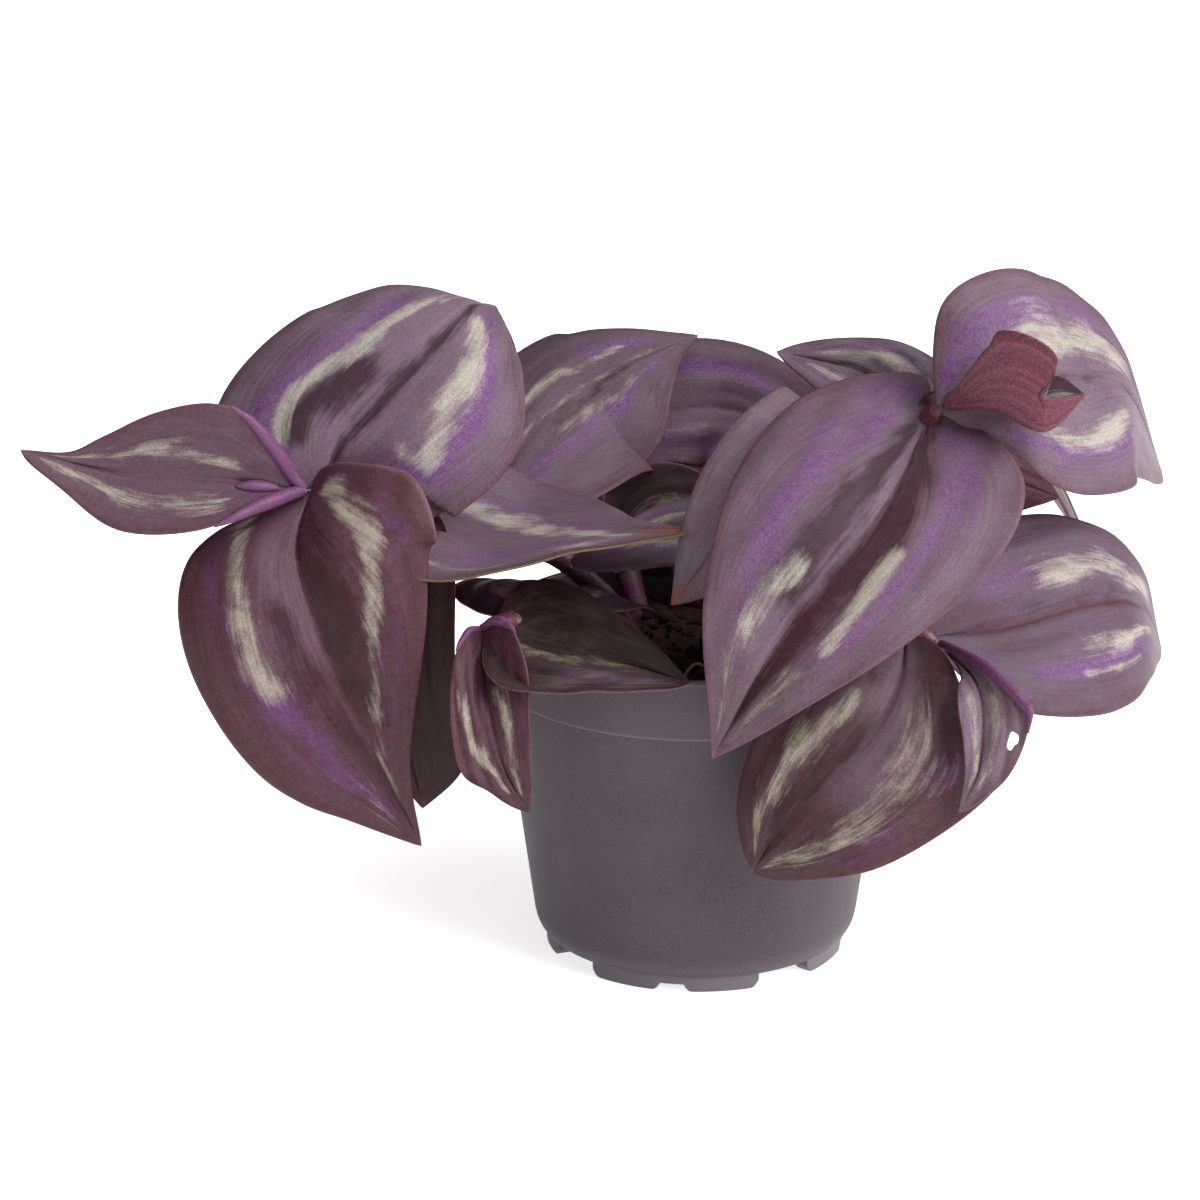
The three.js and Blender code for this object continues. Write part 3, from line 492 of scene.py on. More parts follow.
def tube(name, path, radiusAt, start=0.0, end=1.0, stops=24, sides=3):
    curve = bpy.data.curves.new(name, "CURVE")
    curve.dimensions = "3D"
    curve.bevel_depth = mm
    curve.bevel_resolution = sides
    curve.use_fill_caps = True
    spline = curve.splines.new("POLY")
    spline.points.add(stops)
    for k, point in enumerate(spline.points):
        t = start + (end - start) * k / stops
        point.co = (*place(smoothThrough(path, t)), 1)
        point.radius = radiusAt(t)
    piece = bpy.data.objects.new(name, curve)
    bpy.context.collection.objects.link(piece)
    pick(piece)
    bpy.ops.object.convert(target="MESH")
    return bpy.context.object


def makeTube(node, path, radiusAt, material, stops, sides):
    piece = tube(node, path, radiusAt, 0, 1, stops, sides)
    piece.data.materials.append(material)
    finishMesh(piece)
    handOver(piece, node)


for name, path in stems.items():
    makeTube(
        "stem_" + name, path, lambda t: stemRadius(name, t) * domed(t, stem["roundFrom"], 1),
        stemMaterial, stem["stops"], stem["sides"],
    )

root = {
    "path": [[-2, -14, 44], [-1.5, -14.2, 46], [0, -14.5, 47.6], [1.8, -14.8, 46.5], [2.6, -15, 44]],
    "radius": 0.33, "taper": 0.35, "stops": 30, "sides": 3,
}
makeTube(
    "root_fibre", root["path"], lambda t: root["radius"] * (1 - root["taper"] * t),
    rootMaterial, root["stops"], root["sides"],
)
bud = {
    "path": [[-59.5, -14.6, 73.4], [-62.5, -15.8, 74], [-65.2, -16.8, 74.4]],
    "radius": 0.95, "start": 0.1, "span": 0.88, "plump": 0.7, "stops": 16, "sides": 4,
}
makeTube(
    "bud_left", bud["path"],
    lambda t: bud["radius"] * math.sin(math.pi * (bud["start"] + bud["span"] * t)) ** bud["plump"],
    lowerSkins["magenta"], bud["stops"], bud["sides"],
)
print("stems ready")


# A side of a leaf, from base to tip: how wide it is, and how far along its margin lies
heart = [[0.5, -0.07], [0.88, 0.07], [1, 0.28], [0.93, 0.5], [0.63, 0.73], [0.25, 0.91]]
plain = [[0.4, 0], [0.79, 0.11], [1, 0.31], [0.92, 0.51], [0.63, 0.73], [0.25, 0.91]]
young = [[0.45, 0.03], [0.88, 0.14], [1, 0.33], [0.76, 0.55], [0.4, 0.76], [0.13, 0.9]]
toFront = [0, -0.94, 0.34]
# A side's fold at the midrib, its curl towards the margin and the extra roll of the margin, in degrees,
# from base to tip
drooping = [[10, -20, 0], [10, -30, 0], [5, -20, 0]]
furled = [[50, 60, 60], [40, 20, 0], [30, 0, 0]]
opening = [[40, 20, 0], [20, 10, 0], [10, 0, 0], [10, 0, 0]]

# Each leaf's stem and place on it, its width in mm, its tones (the dark amount partly painted shade, the pale
# amount partly painted sheen), its two sides, its midrib, which way it faces, and where its margins are
# rolled up (side, start, end, radius)
leaves = {
    "leaf_left_upper": {
        "stem": "left", "at": 0.96, "width": 42, "pale": 0.3,
        "outline": (
            [[0.51, -0.04], [0.9, 0.11], [1.02, 0.31], [0.93, 0.51], [0.61, 0.69], [0.22, 0.85]],
            [[0.48, -0.06], [0.84, 0.09], [0.94, 0.33], [0.94, 0.5], [0.61, 0.65], [0.2, 0.78]],
        ),
        "midrib": [[-50.3, -8.3, 79.1], [-40.6, -2.9, 88.3], [-33.4, 6.6, 94.6], [-31, 22.5, 90.7]],
        "facing": [[0, -0.9, 0.5], [0, -0.85, 0.5], [0.1, -0.5, 0.8]],
        "left": [[12, -35, 0], [8, -60, 0], [0, -40, 0]],
        "right": [[-5, -20, 0], [10, -40, 0], [5, -30, 0]],
    },
    "leaf_left_hanging": {
        "stem": "left", "at": 0.985, "width": 37, "dark": 0.08, "maroon": 0.85,
        "outline": (
            [[0.11, -0.06], [0.54, -0.03], [0.94, 0.01], [1.12, 0.19], [0.79, 0.52], [0.23, 0.79]],
            [[0.38, 0.08], [0.76, 0.17], [1.01, 0.3], [1.05, 0.49], [0.83, 0.74], [0.36, 0.89]],
        ),
        "midrib": [[-56.3, -21.4, 65.3], [-51.8, -25.3, 52.3], [-45.7, -25.2, 38.3], [-39.3, -20.9, 21.7]],
        "facing": [[-0.25, -0.4, 0.9], [0, -0.85, 0.45], toFront, toFront],
        "left": [[32, -60, 0], [12, -35, 0], [8, -20, 0]],
        "right": [[0, -30, 0], [12, -35, 0], [8, -20, 0]],
    },
    "leaf_left_young": {
        "stem": "left", "at": 1, "width": 23, "pale": 0.06, "olive": 0.05, "maroon": 0.55,
        "under": "magenta",
        "outline": (
            [[0.15, 0.12], [0.4, 0.28], [0.74, 0.44], [0.78, 0.64], [0.4, 0.82], [0.15, 0.96]],
            [[0.2, 0.1], [0.56, 0.25], [0.96, 0.4], [0.81, 0.57], [0.41, 0.74], [0.12, 0.84]],
        ),
        "midrib": [[-65, -15.6, 74.7], [-81.5, -17.7, 76.5], [-95, -20, 80.4]],
        "facing": [[0, -0.8, 0.6], [0, -0.9, 0.4], toFront],
        "sides": [[25, 10, 0], [25, 10, 0], [18, 10, 0], [15, 0, 0], [15, 0, 0]],
        "rolls": [(-1, 0.01, 0.4, 1.15), (1, 0.01, 0.41, 1.15)],
    },
    "leaf_behind_left": {
        # the high dark amount and the dark stroke given for this leaf are painted shade: it lies in deep
        # shadow
        "stem": "left", "at": 0.82, "width": 20, "maroon": 1, "dark": 0.9, "olive": 0.5,
        "outline": (
            [[0.45, 0.04], [0.8, 0.17], [0.92, 0.34], [0.92, 0.52], [0.88, 0.7], [0.78, 0.9]],
            plain,
        ),
        "midrib": [[-44, -10, 61], [-43.5, -12, 43], [-40, -9, 23]], "facing": [toFront] * 3,
        "sides": [[12, -20, 0], [12, -30, 0], [8, -10, 0]],
    },
    "leaf_centre_upper": {
        "stem": "left", "at": 0.62, "width": 37, "pale": 0.2, "dark": 0.12, "olive": 0.35,
        "outline": (
            [[0.41, 0.01], [0.8, 0.12], [1.01, 0.31], [0.93, 0.5], [0.62, 0.7], [0.24, 0.88]],
            [[0.45, 0.04], [0.87, 0.2], [1.01, 0.42], [0.78, 0.65], [0.41, 0.8], [0.14, 0.9]],
        ),
        "midrib": [[-22, 25.6, 75], [-12.8, 32.1, 79], [-0.1, 40, 82.1]],
        "facing": [[0, -0.8, 0.6], [0, -0.8, 0.6], [0, -0.7, 0.7]],
        "left": [[-20, -30, 0], [-20, -40, 0], [-10, -20, 0]],
        "right": [[12, -15, 0], [10, -25, 0], [5, -10, 0]],
    },
    "leaf_centre_flat": {
        "stem": "left", "at": 0.73, "margin": "olive", "width": 36, "pale": 0.25, "wither": 1,
        "outline": (
            [[0.5, -0.08], [0.88, 0.05], [0.99, 0.23], [0.91, 0.42], [0.59, 0.6], [0.19, 0.75]],
            [[0.54, -0.09], [0.95, 0.03], [1.07, 0.21], [0.94, 0.4], [0.61, 0.67], [0.23, 0.92]],
        ),
        "midrib": [[-28.7, -5.4, 64.2], [-14.7, -9.2, 66], [0.4, -13.9, 67.5]],
        "facing": [[0, -0.2, 1], [0, -0.1, 1], [0, -0.1, 1]],
        "sides": [[8, -10, 0], [8, -15, 0], [5, -10, 0]],
    },
    "leaf_centre_back": {
        "stem": "upper", "at": 0.55, "width": 29, "pale": 0.4, "olive": 0.1,
        "outline": (
            [[0.29, 0], [0.58, 0.11], [0.73, 0.3], [0.65, 0.49], [0.42, 0.72], [0.14, 0.9]],
            [[0.32, 0.06], [0.64, 0.23], [0.82, 0.47], [0.75, 0.66], [0.51, 0.84], [0.19, 0.97]],
        ),
        "midrib": [[6.5, 31.4, 72.2], [-8.9, 35.4, 70.2], [-13.6, 37.4, 66.2]],
        "facing": [[0, -0.8, 0.6]] * 3, "sides": [[12, -15, 0], [10, -25, 0], [5, -10, 0]],
    },
    "leaf_centre_dark": {
        # the dark amount and the broad dark stroke given for this leaf are painted shade: it lies in shadow
        "stem": "back_left", "at": 0.4, "width": 18, "dark": 0.3, "olive": 0.7, "outline": (plain, plain),
        "midrib": [[-6, 19, 58.5], [1, 18, 59], [9, 18, 57]], "facing": [toFront] * 3,
        "sides": [[10, -15, 0], [10, -20, 0], [5, -10, 0]],
    },
    "leaf_centre_under": {
        "stem": "upper", "at": 0.35, "width": 20, "olive": 0.2, "pale": 0.5, "dark": 0.05,
        "outline": (
            [[0.4, 0.05], [0.79, 0.2], [1, 0.44], [0.93, 0.66], [0.66, 0.87], [0.27, 0.99]],
            [[0.4, 0], [0.79, 0.11], [1, 0.31], [0.92, 0.51], [0.63, 0.73], [0.25, 0.91]],
        ),
        "midrib": [[2.7, -2.6, 61.4], [-3.8, -3.9, 64.2], [-18.5, -4.3, 59.8]],
        "facing": [[0, -0.3, 1]] * 3, "sides": [[5, -10, 0]] * 3,
    },
    "leaf_edge_on": {
        # the dark amount is painted shade: this leaf lies in shadow
        "stem": "left", "at": 0.3, "width": 33, "maroon": 0.6, "dark": 0.6, "outline": (plain, plain),
        "midrib": [[-20, -5, 56.5], [-23, -12, 56], [-25, -19, 55]],
        "facing": [[0, 0.1, 1], [0, 0.1, 1], [0, 0.3, 1]], "sides": [[0, -10, 0]] * 3,
    },
    "leaf_rim_young": {
        "stem": "rim", "at": 1, "width": 14, "dark": 0.3, "maroon": 0.85, "under": "magenta",
        "outline": (
            [[0.46, 0.01], [0.91, 0.1], [1.04, 0.27], [0.8, 0.47], [0.47, 0.76], [0.18, 0.92]],
            [[0.35, 0.04], [0.71, 0.19], [0.85, 0.47], [0.83, 0.64], [0.5, 0.74], [0.22, 0.91]],
        ),
        "midrib": [[-29.3, -29.8, 47.3], [-26.9, -33, 38.5], [-23.3, -32.5, 31.4]], "facing": [toFront] * 3,
        "sides": opening, "rolls": [(-1, 0.01, 0.3, 0.8), (1, 0.01, 0.25, 0.6)],
    },
    "leaf_on_rim": {
        # the dark amount is painted shade: this leaf lies in shadow
        "stem": "rim", "at": 0.88, "width": 26, "dark": 0.55, "maroon": 0.6, "olive": 0.85,
        "outline": (
            [[0.38, -0.02], [0.76, 0.07], [0.96, 0.25], [0.87, 0.44], [0.58, 0.66], [0.22, 0.88]],
            [[0.38, 0], [0.75, 0.11], [0.94, 0.32], [0.85, 0.52], [0.56, 0.74], [0.2, 0.94]],
        ),
        "midrib": [[-22.2, -21.8, 53.6], [-12.3, -26.1, 52.4], [-0.8, -32, 50.6]],
        "facing": [[0, -0.4, 0.9], [0, -0.4, 0.9], [0, -0.5, 0.9]],
        "sides": [[8, -10, 0], [8, -15, 0], [5, -10, 0]],
    },
    "leaf_right_large": {
        "stem": "upper", "at": 0.89, "width": 39.5, "pale": 0.25, "wave": 0.3, "maroon": 0.25,
        "outline": (
            [[0.28, -0.02], [0.75, 0.07], [0.91, 0.2], [0.85, 0.35], [0.61, 0.6], [0.25, 0.86]],
            [[0.17, -0.12], [0.67, -0.02], [1.03, 0.15], [1.03, 0.43], [0.71, 0.62], [0.3, 0.82]],
        ),
        "midrib": [[24.9, -24.4, 72.8], [10.8, -35.3, 57.2], [2.1, -37.4, 41.4]],
        "facing": [[0, -0.7, 0.7], [0, -0.85, 0.5], toFront],
        "sides": [[14, -25, 0], [12, -35, 0], [8, -20, 0]],
    },
    "leaf_right_strip": {
        "stem": "upper", "at": 0.4, "width": 30, "wither": 1, "pale": 0.8, "olive": 0.4,
        "outline": (
            [[0.26, 0.14], [0.5, 0.32], [0.66, 0.5], [0.66, 0.64], [0.5, 0.79], [0.22, 0.92]],
            [[0.5, -0.05], [0.88, 0.1], [1, 0.32], [0.93, 0.51], [0.62, 0.68], [0.25, 0.88]],
        ),
        "midrib": [[20.6, -7.2, 76], [6.4, -15, 69.2], [-3.8, -19.2, 57.8]],
        "facing": [[-0.4, -0.8, 0.5], [-0.4, -0.8, 0.4], [-0.4, -0.8, 0.3]],
        "sides": [[8, -15, 0], [8, -25, 0], [5, -10, 0]],
    },
    "leaf_right_upper": {
        "stem": "upper", "at": 0.96, "width": 35.5, "pale": 0.3,
        "outline": (
            [[0.44, 0.05], [0.86, 0.16], [1.01, 0.4], [0.93, 0.6], [0.6, 0.7], [0.2, 0.8]],
            [[0.44, 0.15], [0.83, 0.35], [0.95, 0.53], [0.89, 0.7], [0.61, 0.87], [0.24, 0.98]],
        ),
        "midrib": [[44.2, -5.4, 86.6], [52.9, 2, 84.9], [62.1, 12.1, 81.7], [69.4, 26.8, 65.6]],
        "facing": [[0.3, -0.75, 0.5], [0.45, -0.65, 0.5], [0.6, -0.4, 0.6]],
        "left": [[12, -15, 0], [10, -25, 0], [8, -20, 0]], "right": [[-15, 0, 0], [5, -20, 0], [8, -20, 0]],
    },
    "leaf_right_young": {
        "stem": "upper", "at": 1, "width": 27, "maroon": 0.5, "under": "red",
        "outline": (
            [[0.4, 0], [0.78, 0.11], [0.98, 0.29], [0.93, 0.47], [0.77, 0.72], [0.49, 0.98]],
            [[0.28, 0.15], [0.64, 0.28], [0.88, 0.33], [0.79, 0.52], [0.52, 0.62], [0.24, 0.85]],
        ),
        "midrib": [[41.4, -12.6, 85.1], [48.5, -13.6, 82.6], [54.3, -11.3, 87]],
        "facing": [[0, 0.3, 1]] * 3, "left": [[45, 15, 0], [45, 15, 0], [40, 0, 0]],
        "right": [[60, 10, 0], [65, 15, 0], [60, 0, 0]],
    },
    "leaf_right_behind": {
        "stem": "upper", "at": 0.75, "width": 22, "pale": 0.6,
        "outline": (
            [[0.5, -0.07], [0.88, 0.07], [1, 0.28], [0.93, 0.5], [0.63, 0.73], [0.25, 0.91]],
            [[0.48, -0.09], [0.83, 0.03], [0.93, 0.22], [0.85, 0.43], [0.55, 0.67], [0.22, 0.91]],
        ),
        "midrib": [[28, 9.2, 80.5], [23.3, 13.8, 83.7], [11.3, 18.4, 85.2]], "facing": [[0, -0.7, 0.7]] * 3,
        "sides": [[10, -15, 0], [10, -20, 0], [5, -10, 0]],
    },
    "leaf_right_turned": {
        "stem": "upper", "at": 0.82, "width": 16, "midrib": [[38.5, 2, 75.5], [45, 5, 70], [53, 10, 65.5]],
        "facing": [[0, 0.9, -0.2]] * 3, "sides": [[5, -15, 0], [5, -20, 0], [5, -10, 0]],
    },
    "leaf_side_upper": {
        "stem": "lower", "at": 0.93, "width": 34, "pale": 0.02,
        "outline": (
            [[0.36, -0.01], [0.72, 0.08], [0.91, 0.27], [0.83, 0.47], [0.56, 0.68], [0.21, 0.87]],
            [[0.37, 0.06], [0.75, 0.21], [0.97, 0.4], [0.91, 0.58], [0.62, 0.77], [0.24, 0.92]],
        ),
        "midrib": [[44.3, -9.3, 52], [56.7, -2, 53.3], [65.2, 8.2, 49.7], [70.5, 24.5, 37.5]],
        "facing": [[0.2, -0.8, 0.5], [0.35, -0.7, 0.5], [0.6, -0.5, 0.5]],
        "sides": [[12, -15, 0], [10, -25, 0], [8, -20, 0]],
    },
    "leaf_side_hanging": {
        "stem": "lower", "at": 0.8, "width": 40, "dark": 0.1, "maroon": 0.75, "olive": 0.32,
        "outline": (
            [[0.23, 0.07], [0.53, 0.25], [0.93, 0.31], [0.94, 0.4], [0.63, 0.69], [0.22, 0.94]],
            [[0.46, -0.11], [0.8, 0], [0.89, 0.18], [0.8, 0.38], [0.52, 0.64], [0.2, 0.89]],
        ),
        "midrib": [[26.6, -27.5, 45.9], [13.9, -35.8, 33.2], [7.8, -34.6, 23.6]],
        "facing": [[0, -0.8, 0.6], toFront, toFront], "left": [[14, -30, 0], [12, -40, 0], [8, -20, 0]],
        "right": [[14, -25, 0], [12, -25, 0], [8, -20, 0]],
    },
    "leaf_side_young": {
        "stem": "lower", "at": 1, "width": 15, "pale": 0.4, "maroon": 0.25, "under": "magenta",
        "outline": (
            [[0.38, 0.3], [0.78, 0.43], [0.9, 0.48], [0.69, 0.64], [0.36, 0.81], [0.13, 0.96]],
            [[0.13, 0.24], [0.39, 0.33], [0.48, 0.43], [0.38, 0.56], [0.24, 0.74], [0.12, 0.87]],
        ),
        "midrib": [[39.2, -28.3, 48.9], [39.3, -34.7, 40.2], [36.5, -35.5, 33.1]], "facing": [toFront] * 3,
        "sides": opening, "rolls": [(-1, 0.01, 0.48, 0.9)], "bite": (-0.74, 0.52, 0.1, 0.028),
    },
    "leaf_back_left_outer": {
        "stem": "back_left", "at": 0.93, "width": 32,
        "midrib": [[-42, 50, 70], [-54, 50, 64], [-62, 47, 52]],
        "facing": [[0, 0, 1], [-0.5, 0.2, 0.8], [-0.8, 0.2, 0.5]], "sides": drooping,
    },
    "leaf_back_left_hanging": {
        "stem": "back_left", "at": 0.8, "width": 34,
        "midrib": [[-24, 48, 62], [-20, 60, 50], [-18, 63, 33]],
        "facing": [[0, 0.6, 0.8], [0, 1, 0.4], [0, 1, 0.2]], "sides": drooping,
    },
    "leaf_back_left_side": {
        "stem": "back_left", "at": 0.6, "width": 30,
        "midrib": [[-32, 29, 64], [-46, 30, 57], [-56, 30, 43]],
        "facing": [[-0.3, 0, 1], [-0.7, 0.1, 0.6], [-0.9, 0.1, 0.3]], "sides": drooping,
    },
    "leaf_back_left_young": {
        "stem": "back_left", "at": 1, "width": 15, "maroon": 0.8, "under": "magenta",
        "outline": (young, young), "midrib": [[-36, 55, 71], [-38, 63, 74], [-37, 71, 73]],
        "facing": [[0, 0, 1], [0, 0, 1], [0, 0.2, 1]], "sides": furled,
    },
    "leaf_back_right_outer": {
        "stem": "back_right", "at": 0.93, "width": 33, "midrib": [[43, 48, 64], [54, 48, 58], [61, 45, 46]],
        "facing": [[0, 0, 1], [0.5, 0.2, 0.8], [0.8, 0.2, 0.5]], "sides": drooping,
    },
    "leaf_back_right_hanging": {
        "stem": "back_right", "at": 0.8, "width": 34, "midrib": [[24, 50, 57], [21, 60, 45], [19, 62, 28]],
        "facing": [[0, 0.6, 0.8], [0, 1, 0.4], [0, 1, 0.2]], "sides": drooping,
    },
    "leaf_back_right_side": {
        "stem": "back_right", "at": 0.6, "width": 29, "midrib": [[33, 28, 60], [45, 30, 54], [54, 30, 42]],
        "facing": [[0.3, 0, 1], [0.7, 0.1, 0.6], [0.9, 0.1, 0.3]], "sides": drooping,
    },
    "leaf_back_right_young": {
        "stem": "back_right", "at": 1, "width": 15, "maroon": 0.8, "under": "magenta",
        "outline": (young, young), "midrib": [[35, 53, 67], [38, 61, 70], [38, 69, 68]],
        "facing": [[0, 0, 1], [0, 0, 1], [0, 0.2, 1]], "sides": furled,
    },
    "leaf_back_centre": {
        "stem": "back_right", "at": 0.5, "width": 33, "midrib": [[4, 39, 67], [-2, 50, 69], [-3, 63, 62]],
        "facing": [[0, -0.2, 1], [0, 0, 1], [0, 0.4, 0.9]], "sides": drooping,
    },
}
